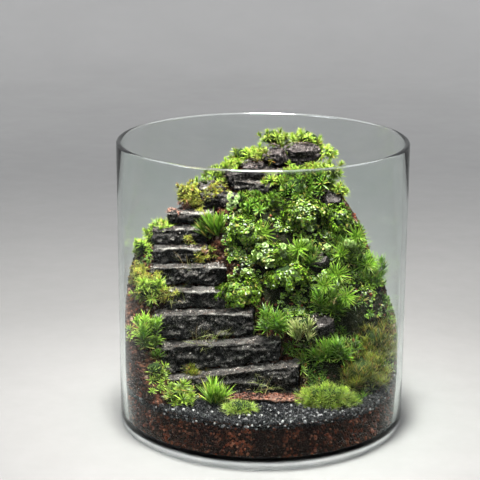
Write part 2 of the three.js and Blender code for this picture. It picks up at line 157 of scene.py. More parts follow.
# %% A short way to write materials
class Finish:
    def __init__(self, name):
        self.material = bpy.data.materials.new(name)
        self.material.use_nodes = True
        self.tree = self.material.node_tree
        self.shader = self.tree.nodes["Principled BSDF"]
        self.out = self.tree.nodes["Material Output"]
        self.place = self.node("ShaderNodeTexCoord", {}).outputs["Object"]

    def link(self, value, socket):
        """Joins an output to a socket, or sets the socket to a number or a colour."""
        if isinstance(value, bpy.types.NodeSocket):
            self.tree.links.new(value, socket)
        else:
            socket.default_value = (*value, 1) if isinstance(value, tuple) else value

    def node(self, kind, inputs, **settings):
        node = self.tree.nodes.new(kind)
        for key, value in settings.items():
            setattr(node, key, value)
        for key, value in inputs.items():
            self.link(value, node.inputs[key])
        return node

    def noise(self, scale, detail=4.0, roughness=0.6, distortion=0.0):
        return self.node("ShaderNodeTexNoise", {
            "Vector": self.place, "Scale": scale, "Detail": detail, "Roughness": roughness,
            "Distortion": distortion}).outputs["Fac"]

    def cells(self, scale, output="Distance"):
        node = self.node("ShaderNodeTexVoronoi", {"Vector": self.place, "Scale": scale})
        return node.outputs[output]

    def steps(self, value, *stops):
        """Colour or grey for a value: stops are (position, colour or number)."""
        node = self.node("ShaderNodeValToRGB", {"Fac": value})
        elements = node.color_ramp.elements
        while len(elements) < len(stops):
            elements.new(0.5)
        for element, (position, colour) in zip(elements, stops):
            element.position = position
            element.color = (*colour, 1) if isinstance(colour, tuple) else (colour,) * 3 + (1,)
        return node.outputs["Color"]

    def spots(self, noise, *stops):
        """The same for a noise, which is given by its numbers."""
        return self.steps(self.noise(*noise), *stops)

    def mix(self, part, first, second, blend="MIX"):
        return self.node("ShaderNodeMix", {"Factor": part, "A": first, "B": second},
                         data_type="RGBA", blend_type=blend).outputs["Result"]

    def shade(self, colour, grey):
        return self.mix(1.0, colour, grey, "MULTIPLY")

    def calc(self, operation, first, second=0.0, clamp=False):
        return self.node("ShaderNodeMath", {0: first, 1: second}, operation=operation,
                         use_clamp=clamp).outputs["Value"]

    def times(self, first, second):
        return self.calc("MULTIPLY", first, second)

    def split(self, colour):
        node = self.node("ShaderNodeSeparateColor", {"Color": colour})
        return [node.outputs[channel] for channel in ("Red", "Green", "Blue")]

    def tone(self):
        """The three numbers that the mesh carries."""
        layer = self.node("ShaderNodeVertexColor", {}, layer_name="tone")
        return self.split(layer.outputs["Color"])

    def bump(self, height, distance, strength=1.0):
        return self.node("ShaderNodeBump", {"Height": height, "Distance": distance,
                                            "Strength": strength}).outputs["Normal"]

    def surface(self, colour, roughness, normal, specular=0.5, **more):
        """What the plain surface shader gets; an underscore in a name stands for a space."""
        inputs = {"Base_Color": colour, "Roughness": roughness, "Normal": normal,
                  "Specular_IOR_Level": specular, **more}
        for key, value in inputs.items():
            self.link(value, self.shader.inputs[key.replace("_", " ")])

    def blend(self, part, first, second):
        """One shader mixed from two."""
        return self.node("ShaderNodeMixShader", {0: part, 1: first, 2: second}).outputs["Shader"]


# %% [markdown]
# The solids of the frame tell where things are. One search tree over everything hard says
# whether a leaf would end inside a stone or under the soil. Such leaves are left out, since
# moss never grows into rock. Rays from above give the height of the soil at any place.

# %% Where the hard things are
GLASS_INSIDE = 96.5 * MM
SKY = 0.25


def mesh_arrays(mesh):
    mesh.calc_loop_triangles()
    points = np.empty(len(mesh.vertices) * 3, np.float32)
    mesh.vertices.foreach_get("co", points)
    triangles = np.empty(len(mesh.loop_triangles) * 3, np.int32)
    mesh.loop_triangles.foreach_get("vertices", triangles)
    return points.reshape(-1, 3), triangles.reshape(-1, 3)


def solid_arrays(names):
    """Points and triangles of several solids of the frame, as of one mesh."""
    points, triangles, count = [], [], 0
    for name in names:
        more_points, more_triangles = mesh_arrays(nodes[name].data)
        points.append(more_points)
        triangles.append(more_triangles + count)
        count += len(more_points)
    return np.concatenate(points), np.concatenate(triangles)


def search_tree(names):
    points, triangles = solid_arrays(names)
    return BVHTree.FromPolygons([tuple(p) for p in points.tolist()], triangles.tolist())


slab_names, rock_names, moss_names = (sorted(n for n in nodes if n.startswith(start))
                                      for start in ("stair_slab", "rock_", "moss_"))
hard_tree = search_tree(["soil_bank", "black_gravel", "path_tile", *slab_names, *rock_names])
stone_tree = search_tree(["path_tile", *slab_names, *rock_names])
soil_tree = search_tree(["soil_bank"])


def in_the_open(points, tree=hard_tree, reach=6 * MM):
    """Which points lie in no solid of the tree, judged by the nearest surface in reach."""
    free = []
    for point in map(Vector, points.tolist()):
        near, normal, _, distance = tree.find_nearest(point)
        free.append(not (distance < reach and (point - near).dot(normal) < 0))
    return np.array(free, bool)


def heights(x, y, tree, none=np.nan):
    """Height of the first hit from above at each place, or `none` where nothing is hit."""
    out = np.full(len(x), float(none))
    for i, (px, py) in enumerate(zip(x.tolist(), y.tolist())):
        hit = tree.ray_cast(Vector((px, py, SKY)), Vector((0, 0, -1)))[0]
        if hit is not None:
            out[i] = hit.z
    return out


print("stones:", len(slab_names), "slabs,", len(rock_names), "rocks;", len(moss_names), "clumps")

# %% [markdown]
# ## The jar
# A cylinder vase is drawn glass: an even 3.5 mm wall, a melted round rim, a thick base and
# a rounded heel. The section is drawn once and turned round the axis. A fine turn matters
# here, because a faceted glass wall would show as stripes in every reflection. Real glass
# also glitters in the thick base and the rim, from a whole room of lights. A silvery shine
# mixed in at those heights stands for that. Light for shadows passes straight through,
# since the renderer doesn't follow it through glass.

# %% Glass jar
JAR_RADIUS, JAR_HEIGHT, WALL, BASE, HEEL, CORNER = (v * MM for v in (100, 202, 3.5, 8, 4, 1.6))
JAR_TURNS = 192
BASE_DISC = 60 * MM

glass = Finish("clear_glass")
smear = glass.spots((38, 5, 0.65, 0.6), (0.35, (0.975, 0.992, 0.985)),
                    (0.75, (0.945, 0.975, 0.962)))
wave = glass.bump(glass.noise(22, 2, 0.5), 0.4 * MM, 0.06)
clear = glass.node("ShaderNodeBsdfGlass",
                   {"Color": smear, "Roughness": 0.0, "IOR": 1.13, "Normal": wave})
glitter = glass.spots((30, 4, 0.7), (0.35, (0.74, 0.77, 0.79)), (0.65, (0.97, 0.98, 1.0)))
silver = glass.node("ShaderNodeBsdfAnisotropic", {"Color": glitter, "Roughness": 0.1})
where = glass.node("ShaderNodeSeparateXYZ", {"Vector": glass.place})
height = glass.times(where.outputs["Z"], 100.0)  # in centimetres
at_base = glass.steps(height, (0.0, 0.8), (0.14, 0.95), (0.22, 0.45), (0.42, 0.6), (0.56, 0.95),
                      (0.66, 0.35), (0.78, 0.0))
at_rim = glass.steps(glass.calc("SUBTRACT", height, 19.5), (0.40, 0.0), (0.62, 0.12), (0.7, 0.2))
shining = glass.blend(glass.calc("ADD", at_base, at_rim, clamp=True), clear.outputs["BSDF"],
                      silver.outputs["BSDF"])
passing = glass.node("ShaderNodeBsdfTransparent", {"Color": (0.95, 0.975, 0.965)})
is_shadow = glass.node("ShaderNodeLightPath", {}).outputs["Is Shadow Ray"]
glass.link(glass.blend(is_shadow, shining, passing.outputs["BSDF"]), glass.out.inputs["Surface"])
glass.tree.nodes.remove(glass.shader)


def arc(centre_r, centre_z, radius, start, end, count):
    turn = np.radians(np.linspace(start, end, count + 1))
    return [(centre_r + radius * math.cos(t), centre_z + radius * math.sin(t)) for t in turn]


def lathe(section, turns):
    """Points and triangles of a closed section turned round Z; its ends lie on the axis."""
    section = np.array(section)
    radius, z = section[1:-1].T
    rows = len(radius)
    angle = (np.arange(turns) * 2 * math.pi / turns)[:, None]
    body = triples(radius * np.cos(angle), radius * np.sin(angle), z).reshape(-1, 3)
    points = np.concatenate([body, [[0, 0, section[0, 1]], [0, 0, section[-1, 1]]]])
    i, j = np.meshgrid(np.arange(turns), np.arange(rows - 1), indexing="ij")
    a, b = i * rows + j, (i + 1) % turns * rows + j
    walls = np.concatenate([triples(a, b, b + 1), triples(a, b + 1, a + 1)]).reshape(-1, 3)
    here = np.arange(turns) * rows
    after = np.roll(here, -1)
    low = triples(len(body), after, here)
    high = triples(len(body) + 1, here + rows - 1, after + rows - 1)
    return points, np.concatenate([walls, low, high])


jar_section = [
    (0, 0), (BASE_DISC, 0), *arc(JAR_RADIUS - HEEL, HEEL, HEEL, -90, 0, 8),
    *[(JAR_RADIUS, z * MM) for z in (40, 80, 120, 160)],
    *arc(JAR_RADIUS - WALL / 2, JAR_HEIGHT - WALL / 2, WALL / 2, 0, 180, 12),
    *[(JAR_RADIUS - WALL, z * MM) for z in (160, 120, 80, 40)],
    *arc(JAR_RADIUS - WALL - CORNER, BASE + CORNER, CORNER, 0, -90, 4),
    (BASE_DISC, BASE), (0, BASE)]
mesh_piece("jar_of_glass", *lathe(jar_section, JAR_TURNS), glass, "glass",
           stands_for=["glass_jar"])

# %% [markdown]
# Moist soil breathes on the glass. A few hundred tiny drops and specks sit on the inside of
# the wall, more of them low down. Each is a flat little dome, turned to the axis.

# %% Drops on the glass
DROPS = 300

water = Finish("water_drops")
water.surface(water.spots((700, 2), (0.35, (0.62, 0.66, 0.64)), (0.7, (0.92, 0.95, 0.93))), 0.05,
              water.bump(water.noise(1500, 2), 0.05 * MM, 0.3), IOR=1.33, Transmission_Weight=0.55)


def domes(centres, inward, radii, flatness=0.45, sides=6):
    """A ring on the wall, a smaller one higher up, and a top point, for each dome."""
    along = unit(np.cross(inward, np.array([0, 0, 1.0])))
    up = unit(np.cross(along, inward))
    turn = np.arange(sides) * 2 * math.pi / sides
    local = np.array([(r * math.cos(t), r * math.sin(t), h) for r, h in ((1.0, 0.0), (0.7, 0.7))
                      for t in turn] + [(0, 0, 1.0)])
    points = centres[:, None] + radii[:, None, None] * (
        local[:, 0:1] * along[:, None] + local[:, 1:2] * up[:, None]
        + flatness * local[:, 2:3] * inward[:, None])
    faces = []
    for k in range(sides):
        after = (k + 1) % sides
        faces += [(k, after, after + sides), (k, after + sides, k + sides)]
    faces += [(sides + k, sides + (k + 1) % sides, 2 * sides) for k in range(sides)]
    return points.reshape(-1, 3), copies(faces, len(centres), len(local))


rng = np.random.default_rng(11)
angle = rng.uniform(0, 2 * math.pi, DROPS)
height = (36 + 160 * rng.uniform(0, 1, DROPS) ** 1.5) * MM
inward = triples(-np.cos(angle), -np.sin(angle), 0)
centres = -inward * (GLASS_INSIDE - 0.02 * MM)
centres[:, 2] = height
mesh_piece("drops_on_glass", *domes(centres, inward, rng.uniform(0.12, 0.42, DROPS) ** 1.3 * MM),
           water, "glass")

# %% [markdown]
# ## The layers
# The jar is filled in layers. Fired clay granules lie at the bottom for drainage, black lava
# gravel lies on them at the front, and soil rises behind. Against the glass single grains
# show, so they are made one by one: a 20-sided solid with its corners pushed about, turned
# and stretched at random. Behind them one rough bed closes the gaps.

# %% Loose grains
MOST_ROWS = 200  # of grains one above the other at the glass
GOLDEN = (1 + 5 ** 0.5) / 2
ICO_POINTS = unit(np.array([
    (-1, GOLDEN, 0), (1, GOLDEN, 0), (-1, -GOLDEN, 0), (1, -GOLDEN, 0), (0, -1, GOLDEN),
    (0, 1, GOLDEN), (0, -1, -GOLDEN), (0, 1, -GOLDEN), (GOLDEN, 0, -1), (GOLDEN, 0, 1),
    (-GOLDEN, 0, -1), (-GOLDEN, 0, 1)]))
ICO_FACES = np.array([
    (0, 11, 5), (0, 5, 1), (0, 1, 7), (0, 7, 10), (0, 10, 11), (1, 5, 9), (5, 11, 4),
    (11, 10, 2), (10, 7, 6), (7, 1, 8), (3, 9, 4), (3, 4, 2), (3, 2, 6), (3, 6, 8),
    (3, 8, 9), (4, 9, 5), (2, 4, 11), (6, 2, 10), (8, 6, 7), (9, 8, 1)])


def turns_at_random(count, rng):
    w, x, y, z = unit(rng.normal(size=(count, 4))).T
    return np.stack([
        1 - 2 * (y * y + z * z), 2 * (x * y - z * w), 2 * (x * z + y * w),
        2 * (x * y + z * w), 1 - 2 * (x * x + z * z), 2 * (y * z - x * w),
        2 * (x * z - y * w), 2 * (y * z + x * w), 1 - 2 * (x * x + y * y)], -1).reshape(-1, 3, 3)


def inside_glass(points, limit=96.2 * MM):
    """Whatever leans on the glass is pressed flat against it."""
    reach = np.hypot(points[:, 0], points[:, 1])
    squeeze = np.minimum(1, limit / np.maximum(reach, 1e-9))
    points[:, :2] *= squeeze[:, None]
    return points


def grains(name, places, radii, rng, jag, finish, slot, smooth=True):
    """A piece of loose grains, each with random numbers of its own in the colour layer."""
    count, corners = len(places), len(ICO_POINTS)
    shape = ICO_POINTS[None] * (1 + jag * rng.uniform(-1, 1, (count, corners, 1)))
    shape = shape * rng.uniform(0.72, 1.12, (count, 1, 3))
    shape = np.einsum("nij,nkj->nki", turns_at_random(count, rng), shape)
    points = (places[:, None] + shape * radii[:, None, None]).reshape(-1, 3)
    points[:, 2] = np.maximum(points[:, 2], BASE + 0.1 * MM)
    tone = np.repeat(rng.uniform(0, 1, (count, 3)), corners, axis=0)
    mesh_piece(name, inside_glass(points), copies(ICO_FACES, count, corners), finish, slot, tone,
               smooth)


def gravel_top(x, y):
    return (33 + 15 * ramp(x / MM, 68, 95) * ramp(y / MM, -72, -12)) * MM


def clay_top(x, y):
    return gravel_top(x, y) - 4.6 * MM + 1.6 * MM * ramp(y / MM, -60, 20)


def ring_places(step, low, high, rng, radius):
    """Jittered places on the inside of the glass between two heights given by the angle."""
    around = int(2 * math.pi * radius / step)
    angle = np.arange(around) * 2 * math.pi / around
    x, y = radius * np.cos(angle), radius * np.sin(angle)
    bottom, top = low(x, y), high(x, y)
    places = []
    for row in range(MOST_ROWS):
        z = bottom + (row + 0.5) * step * 0.86
        keep = z < top
        count = keep.sum()
        if not count:
            break
        a = angle[keep] + (row % 2) * math.pi / around + rng.normal(0, 0.16, count) * step / radius
        places.append(triples(radius * np.cos(a), radius * np.sin(a),
                              z[keep] + rng.normal(0, 0.16, count) * step))
    return np.concatenate(places)


# %% [markdown]
# Fired clay granules are reddish brown, dusty where dry and nearly black where wet. One
# random number of each grain picks its brown, and a noise of about 1 cm makes damp areas
# darker.

# %% Clay granules
clay = Finish("fired_clay_granules")
pick = clay.tone()[1]
colour = clay.steps(pick, (0.0, (0.003, 0.002, 0.002)), (0.42, (0.012, 0.005, 0.003)),
                    (0.62, (0.042, 0.010, 0.005)), (0.92, (0.150, 0.035, 0.015)),
                    (1.0, (0.25, 0.10, 0.060)))
colour = clay.shade(colour, clay.spots((90, 3), (0.40, 0.12), (0.62, 1.15)))
colour = clay.mix(clay.spots((2600, 3), (0.45, 0.0), (0.75, 0.4)), colour, (0.10, 0.040, 0.026))
clay.surface(colour, clay.spots((900, 3), (0.3, 0.55), (0.7, 0.92)),
             clay.bump(clay.noise(2800, 4, 0.7), 0.3 * MM, 0.8), 0.12)

rng = np.random.default_rng(21)
places = ring_places(2.0 * MM, lambda x, y: np.full(len(x), 8.3 * MM), clay_top, rng, 94.9 * MM)
grains("clay_grains", places, rng.uniform(0.75, 1.45, len(places)) * MM, rng, 0.25, clay,
       "clay_granules")


def disc_faces(rows, turns):
    """Triangles from one middle point out over rings of points."""
    k, after = np.arange(turns), np.roll(np.arange(turns), -1)
    faces = [triples(0, 1 + k, 1 + after)]
    for start in range(1, 1 + (rows - 1) * turns, turns):
        a, b = start + k, start + after
        faces += [triples(a, a + turns, b + turns), triples(a, b + turns, b)]
    return faces


def bed(name, node, finish, slot, low, top, limit, rings, turns, wobble, seed, tone_at=0.3,
        mask=None):
    """A closed layer: rough top, rough side behind the grains at the glass, flat bottom."""
    angle = np.arange(turns) * 2 * math.pi / turns
    radius = limit * np.linspace(0, 1, rings + 1)[1:, None]
    x, y = (radius * np.cos(angle)).ravel(), (radius * np.sin(angle)).ravel()
    upper = triples(x, y, top(x, y))
    edge_x, edge_y, edge_z = upper[-turns:].T
    floor_z = low(edge_x, edge_y)
    side_rows = max(4, int((edge_z.max() - floor_z.min()) / (1.9 * MM)))
    part = np.linspace(0, 1, side_rows + 1)[1:, None]
    side = triples(edge_x, edge_y, edge_z + (floor_z - edge_z) * part).reshape(-1, 3)
    middle_z = float(top(np.zeros(1), np.zeros(1))[0])
    points = np.concatenate([[[0, 0, middle_z]], upper, side, [[0, 0, floor_z.min()]]])
    push = rough(points, 5.5 * MM, seed) * wobble
    rim = 1 + len(upper) - turns
    points[1:rim, 2] += push[1:rim]
    outward = unit(points[rim:-1] * np.array([1, 1, 0]))
    points[rim:-1] += outward * np.abs(push[rim:-1])[:, None] * 0.9
    last = len(points) - 1 - turns + np.arange(turns)
    faces = disc_faces(rings + side_rows, turns) + [
        triples(last, len(points) - 1, np.roll(last, -1))]
    tone = np.full((len(points), 3), tone_at)
    if mask is not None:
        tone[:, 0] = mask(points)
    mesh_piece(name, inside_glass(points, 96.0 * MM), np.concatenate(faces), finish, slot, tone,
               stands_for=[node])


bed("clay_bed", "clay_granules", clay, "clay_granules",
    lambda x, y: np.full(len(x), 8.05 * MM), clay_top, 93.9 * MM,
    rings=12, turns=160, wobble=0.5 * MM, seed=31, tone_at=0.15)

# %% [markdown]
# Lava gravel is black and glassy, in grains of 1 to 2 mm. It glistens because it is wet, so
# its roughness is low in spots. Flat shaded faces give broken edges, which is what
# separates crushed stone from clay balls.

# %% Black gravel
lava = Finish("black_lava_gravel")
pick = lava.tone()[1]
colour = lava.steps(pick, (0.0, (0.002, 0.002, 0.003)), (0.6, (0.005, 0.005, 0.006)),
                    (0.82, (0.012, 0.012, 0.014)), (0.88, (0.08, 0.078, 0.082)),
                    (1.0, (0.29, 0.28, 0.28)))
colour = lava.mix(lava.spots((1900, 4, 0.7), (0.65, 0.0), (0.72, 0.6)), colour,
                  (0.17, 0.165, 0.165))
lava.surface(colour, lava.spots((1100, 2), (0.35, 0.10), (0.62, 0.45)),
             lava.bump(lava.cells(1900), 0.35 * MM, 0.9), 0.2)

rng = np.random.default_rng(22)
band = ring_places(1.6 * MM, lambda x, y: clay_top(x, y) - 0.2 * MM, gravel_top, rng, 95.35 * MM)
x, y = (grid.ravel() for grid in np.meshgrid(np.arange(-95, 95.1, 1.5), np.arange(-95, 20, 1.5)))
x = (x + rng.uniform(-0.6, 0.6, x.size)) * MM
y = (y + rng.uniform(-0.6, 0.6, y.size)) * MM
keep = np.hypot(x, y) < 95.2 * MM
x, y = x[keep], y[keep]
top_z = heights(x, y, search_tree(["black_gravel"]))
open_top = ((top_z > heights(x, y, soil_tree, none=-1) - 0.8 * MM)
            & (top_z > heights(x, y, stone_tree, none=-1) - 0.3 * MM))
bare = triples(x, y, top_z + rng.uniform(-0.3, 0.5, len(x)) * MM)[open_top]
places = np.concatenate([band, bare])
count = len(places)
radii = (rng.choice([0.42, 0.8, 1.2], count, p=[0.34, 0.54, 0.12])
         * rng.uniform(0.85, 1.15, count) * MM)
rng.uniform(size=(3, count))  # draws that nothing uses; without them every grain would differ
grains("gravel_grains", places, radii, rng, 0.32, lava, "lava_gravel", smooth=False)
bed("gravel_bed", "black_gravel", lava, "lava_gravel",
    lambda x, y: clay_top(x, y) - 0.1 * MM, lambda x, y: gravel_top(x, y) - 0.7 * MM, 94.3 * MM,
    rings=30, turns=160, wobble=0.4 * MM, seed=32, tone_at=0.25)

# %% [markdown]
# ## The bank of soil
# The bank is potting soil with clay crumbs in it, pressed by hand into a steep hill. Its
# height comes from the frame by rays from above. Then it is smoothed a little, because the
# frame's facets are coarse, and made rough again at the size of crumbs. Cells of 2 mm in the
# material give every crumb its own brown, and the gaps between them are painted dark as
# painted shade.

# %% Soil bank
CRUMBS = 470  # cells in a metre
SOIL_RINGS, SOIL_TURNS = 60, 240

soil = Finish("crumbly_soil")
wet_and_painted_shade = soil.tone()[0]
crumb = soil.split(soil.cells(CRUMBS, "Color"))[0]
colour = soil.steps(crumb, (0.0, (0.012, 0.007, 0.005)), (0.45, (0.034, 0.015, 0.009)),
                    (0.75, (0.078, 0.028, 0.015)), (0.93, (0.13, 0.058, 0.034)),
                    (1.0, (0.26, 0.19, 0.16)))
# painted shade: the gaps between crumbs are painted dark
gaps = soil.steps(soil.cells(CRUMBS), (0.0, 1.0), (0.55, 0.85), (0.8, 0.2))
colour = soil.shade(colour, gaps)
colour = soil.shade(colour, soil.spots((55, 4), (0.35, 0.45), (0.65, 1.25)))
# under the moss the soil is painted nearly black: wet soil and painted shade
colour = soil.mix(soil.times(wet_and_painted_shade, 0.96), colour, (0.004, 0.006, 0.002))
height = soil.calc("ADD", soil.times(soil.cells(CRUMBS), -1.0),
                   soil.times(soil.noise(1500, 4), 0.5))
soil.surface(colour, soil.spots((400, 3), (0.3, 0.7), (0.7, 0.97)),
             soil.bump(height, 1.2 * MM, 0.9), 0.04)


def right_of_stairs(x, z):
    """1 well to the right of the steps at this height, 0 at the steps and to their left."""
    edge = np.interp(z / MM, (34, 60, 85, 100, 125, 140, 155, 170),
                     (30, 24, 4, -18, -30, -28, -2, 20))
    return ramp(x / MM - edge, 1, 7)


def wet_and_shaded_slope(points):
    """The slope right of the steps is painted dark, for wet soil and as painted shade; the wall at
    the glass is not.
    """
    reach = np.hypot(points[:, 0], points[:, 1])
    return right_of_stairs(points[:, 0], points[:, 2]) * (1 - ramp(reach, 89 * MM, 93 * MM))


def mounds(x, y, z):
    """Moss heaps the soil up into small mounds on the slope."""
    field = lumps(triples(x, y, z), 11 * MM, 3)
    return (5.0 * MM * ramp(field, -0.25, 0.6) * right_of_stairs(x, z) * ramp(z / MM, 38, 60)
            * ramp(-y / MM, -75, -45))


def soil_top(x, y):
    """The frame's soil height, smoothed over the rings and turns of the grid."""
    pull = np.minimum(1, 93.0 * MM / np.maximum(np.hypot(x, y), 1e-9))
    if len(x) == 1:
        return heights(x * pull, y * pull, soil_tree, none=30 * MM)
    z = heights(x * pull, y * pull, soil_tree)
    z = z + np.where(np.isnan(z), 0, mounds(x, y, np.nan_to_num(z)))
    grid = z.reshape(SOIL_RINGS, SOIL_TURNS)
    low = np.isnan(grid)
    grid = np.where(low, gravel_top(x, y).reshape(grid.shape) - 2.5 * MM, grid)
    for _ in range(2):
        smooth = grid.copy()
        smooth[1:-1] = (grid[:-2] + 2 * grid[1:-1] + grid[2:]) / 4
        smooth = (np.roll(smooth, 1, 1) + 2 * smooth + np.roll(smooth, -1, 1)) / 4
        grid = np.where(low, np.minimum(smooth, grid), smooth)
    return grid.ravel()


bed("bank_of_soil", "soil_bank", soil, "soil", lambda x, y: gravel_top(x, y) - 1.5 * MM, soil_top,
    94.8 * MM, rings=SOIL_RINGS, turns=SOIL_TURNS, wobble=0.7 * MM, seed=33, mask=wet_and_shaded_slope)
print("script so far:", sum(made.values()), "triangles")

# %% [markdown]
# Crumbs lie loose on the soil and against the glass: clay granules that fell, black grains
# and a few pale ones. They take the finish of the clay, whose darkest grains are black.

# %% Crumbs on the soil
LOOSE_CRUMBS = 2600

rng = np.random.default_rng(23)
angle = rng.uniform(0, 2 * math.pi, LOOSE_CRUMBS)
reach = 95 * MM * np.sqrt(rng.uniform(0, 1, LOOSE_CRUMBS))
x, y = reach * np.cos(angle), reach * np.sin(angle)
soil_z = heights(x, y, soil_tree, none=-1)
keep = (soil_z > gravel_top(x, y)) & (heights(x, y, stone_tree, none=-1) < soil_z)
wall = ring_places(2.7 * MM, lambda x, y: gravel_top(x, y) - 1 * MM,
                   lambda x, y: heights(x * 0.97, y * 0.97, soil_tree, none=0), rng, 95.2 * MM)
crumbs = np.concatenate([triples(x, y, soil_z + 0.2 * MM)[keep], wall])
rng.uniform(size=len(crumbs))  # draws that nothing uses; without them every crumb would differ
grains("crumbs_on_soil", crumbs, rng.uniform(0.55, 1.4, len(crumbs)) * MM, rng, 0.25, clay, "soil")

# %% [markdown]
# ## Steps and rocks
# The steps are split pieces of dark volcanic stone. A split face is rough at every size, so
# each solid of the frame is remeshed to an even mesh finer than 1 mm and pushed in and out
# by random fields, with small round pits. The tread's front edge is painted paler, its top
# is painted lighter and its faces darker as painted light and shade, and the layer `tone`
# tells the material where these are.

# %% Stone from solids
SPLIT_PLANES = [  # which way a plane looks and how deep it cuts
    ((0.0, -0.30, 1.0), 1.0), ((0.15, -1.0, 0.0), 0.8), ((-1.0, -0.35, 0.1), 0.55),
    ((1.0, -0.4, 0.2), 0.55), ((-0.6, -0.1, 0.8), 0.4), ((0.1, 1.0, 0.4), 0.5)]


def split_faces(points, rng, share):
    """Plane cuts that take corners off: whatever lies beyond a plane is laid onto it."""
    middle, half = (points.min(0) + points.max(0)) / 2, (points.max(0) - points.min(0)) / 2
    for normal, deep in SPLIT_PLANES:
        normal = unit(unit(np.array(normal) + rng.normal(0, 0.14, 3)) / half)
        reach = (points - middle) @ normal
        cut = reach.max() * (1 - share * deep * rng.uniform(0.7, 1.15))
        points = points - np.maximum(reach - cut, 0)[:, None] * normal
    return points


def point_normals(points, triangles):
    a, b, c = (points[triangles[:, k]] for k in range(3))
    normals = np.zeros_like(points)
    for k in range(3):
        np.add.at(normals, triangles[:, k], np.cross(b - a, c - a))
    return unit(normals)


def stone_piece(node, name, finish, slot, cell, depth, pits, seed, split=0.0, smooth=True):
    worker = bpy.data.objects.new("worker", nodes[node].data.copy())
    scene.collection.objects.link(worker)
    remesh = worker.modifiers.new("even", "REMESH")
    remesh.mode, remesh.voxel_size = "VOXEL", cell
    bpy.context.view_layer.update()
    shaped = worker.evaluated_get(bpy.context.evaluated_depsgraph_get())
    even = bpy.data.meshes.new_from_object(shaped)
    points, triangles = mesh_arrays(even)
    normals = np.empty(len(even.vertices) * 3, np.float32)
    even.vertices.foreach_get("normal", normals)
    points, normals = points.astype(float), normals.reshape(-1, 3).astype(float)
    bpy.data.objects.remove(worker)
    bpy.data.meshes.remove(even)
    if split:
        points = split_faces(points, np.random.default_rng(seed), split)
        normals = point_normals(points, triangles)
    front, top = points[:, 1].min(), points[:, 2].max()

    def creases(size, part):
        return 1 - 3 * np.abs(lumps(points * np.array([0.7, 0.7, 1.0]), size, seed + part))

    push = (0.35 * rough(points, 12 * MM, seed) + 0.5 * creases(6.5 * MM, 3)
            + 0.32 * creases(3.0 * MM, 4) + 0.25 * lumps(points, 1.7 * MM, seed + 5)) * depth
    hole = np.clip(lumps(points, 2.4 * MM, seed + 9) - 0.2, 0, 1) * pits
    tread = ramp(normals[:, 2], 0.6, 0.95)
    push = (push - hole) * (1 - 0.5 * tread)
    points = points + normals * (push - depth * 0.3)[:, None]
    at_top = 1 - ramp(top - points[:, 2], 0.8 * MM, 2.2 * MM)
    at_front = 1 - ramp(points[:, 1] - front, 1.5 * MM, 4 * MM)
    # how much a point faces up: the material paints such tops lighter and the faces below darker,
    # as painted light and shade
    flat = ramp(point_normals(points, triangles)[:, 2], 0.25, 0.75)
    tone = triples(at_top * at_front, flat, np.clip(0.5 + 0.45 * push / depth, 0, 1))
    mesh_piece(name, points, triangles, finish, slot, tone, smooth, [node])


def dark_stone(name, base, light, edge, pale):
    """Dark stone with a paler crust where it stands proud, pale flecks, a paler front edge, and
    painted light: tops painted lighter and faces below painted darker.
    """
    finish = Finish(name)
    front_edge, flat, proud = finish.tone()
    grain = finish.noise(330, 9, 0.78, 0.3)
    colour = finish.steps(grain, (0.40, tuple(0.2 * c for c in base)), (0.55, base), (0.66, light))
    crust = finish.times(finish.steps(proud, (0.48, 0.0), (0.8, 1.0)),
                         finish.spots((620, 6, 0.8, 0.5), (0.50, 0.0), (0.58, 1.0)))
    # the crust is weakened on faces that don't look up: painted top light
    crust = finish.times(crust, finish.steps(flat, (0.0, 0.3), (0.6, 1.0)))
    colour = finish.mix(crust, colour, edge)
    patches = finish.spots((150, 4, 0.7), (0.42, 0.05), (0.55, 1.0))
    specks = finish.spots((1050, 5, 0.75), (0.58, 0.0), (0.61, 0.6))
    ridge = finish.calc("ABSOLUTE", finish.calc("SUBTRACT", finish.noise(360, 7, 0.72, 0.6), 0.5))
    threads = finish.steps(ridge, (0.0, 0.75), (0.016, 0.0))
    flakes = finish.times(
        finish.steps(finish.split(finish.cells(760, "Color"))[0], (0.80, 0.0), (0.84, 1.0)),
        finish.steps(finish.cells(760), (0.25, 1.0), (0.5, 0.0)))
    for marks in (specks, threads, finish.times(flakes, 0.75)):
        colour = finish.mix(finish.times(marks, patches), colour, pale)
    # tops painted paler: partly dust, partly painted light from above
    treads = finish.times(flat, finish.spots((520, 7, 0.85), (0.44, 0.0), (0.58, 1.0)))
    colour = finish.mix(finish.times(treads, 0.75), colour, edge)
    # the front edge of each top is painted paler
    lip = finish.times(front_edge, finish.spots((820, 7, 0.9), (0.44, 0.0), (0.54, 0.85)))
    colour = finish.mix(lip, colour, pale)
    # painted shade: faces that don't look up are painted darker, as under light from above
    colour = finish.shade(colour, finish.steps(flat, (0.0, 0.42), (0.5, 1.0)))
    height = finish.calc("ADD", finish.noise(800, 9, 0.82, 0.4), finish.times(grain, 1.2))
    finish.surface(colour, finish.spots((700, 4), (0.35, 0.5), (0.62, 0.95)),
                   finish.bump(height, 1.6 * MM), 0.1)
    return finish


slab_stone = dark_stone("split_dark_stone", (0.004, 0.004, 0.0045), (0.016, 0.0155, 0.016),
                        (0.072, 0.063, 0.058), (0.42, 0.39, 0.36))
for i, node in enumerate(slab_names):
    stone_piece(node, f"step_{i + 1:02d}", slab_stone, "slab_stone", 0.8 * MM, 2.3 * MM, 2.2 * MM,
                seed=40 + i, split=0.06)

# %% [markdown]
# The rocks on the crest are the same stone, a little warmer with earth. They broke along
# planes, so deep plane cuts come first and the roughness stays low. Their tops are painted
# paler, for dust and as painted light from above, and the faces below are painted almost
# black as painted shade.

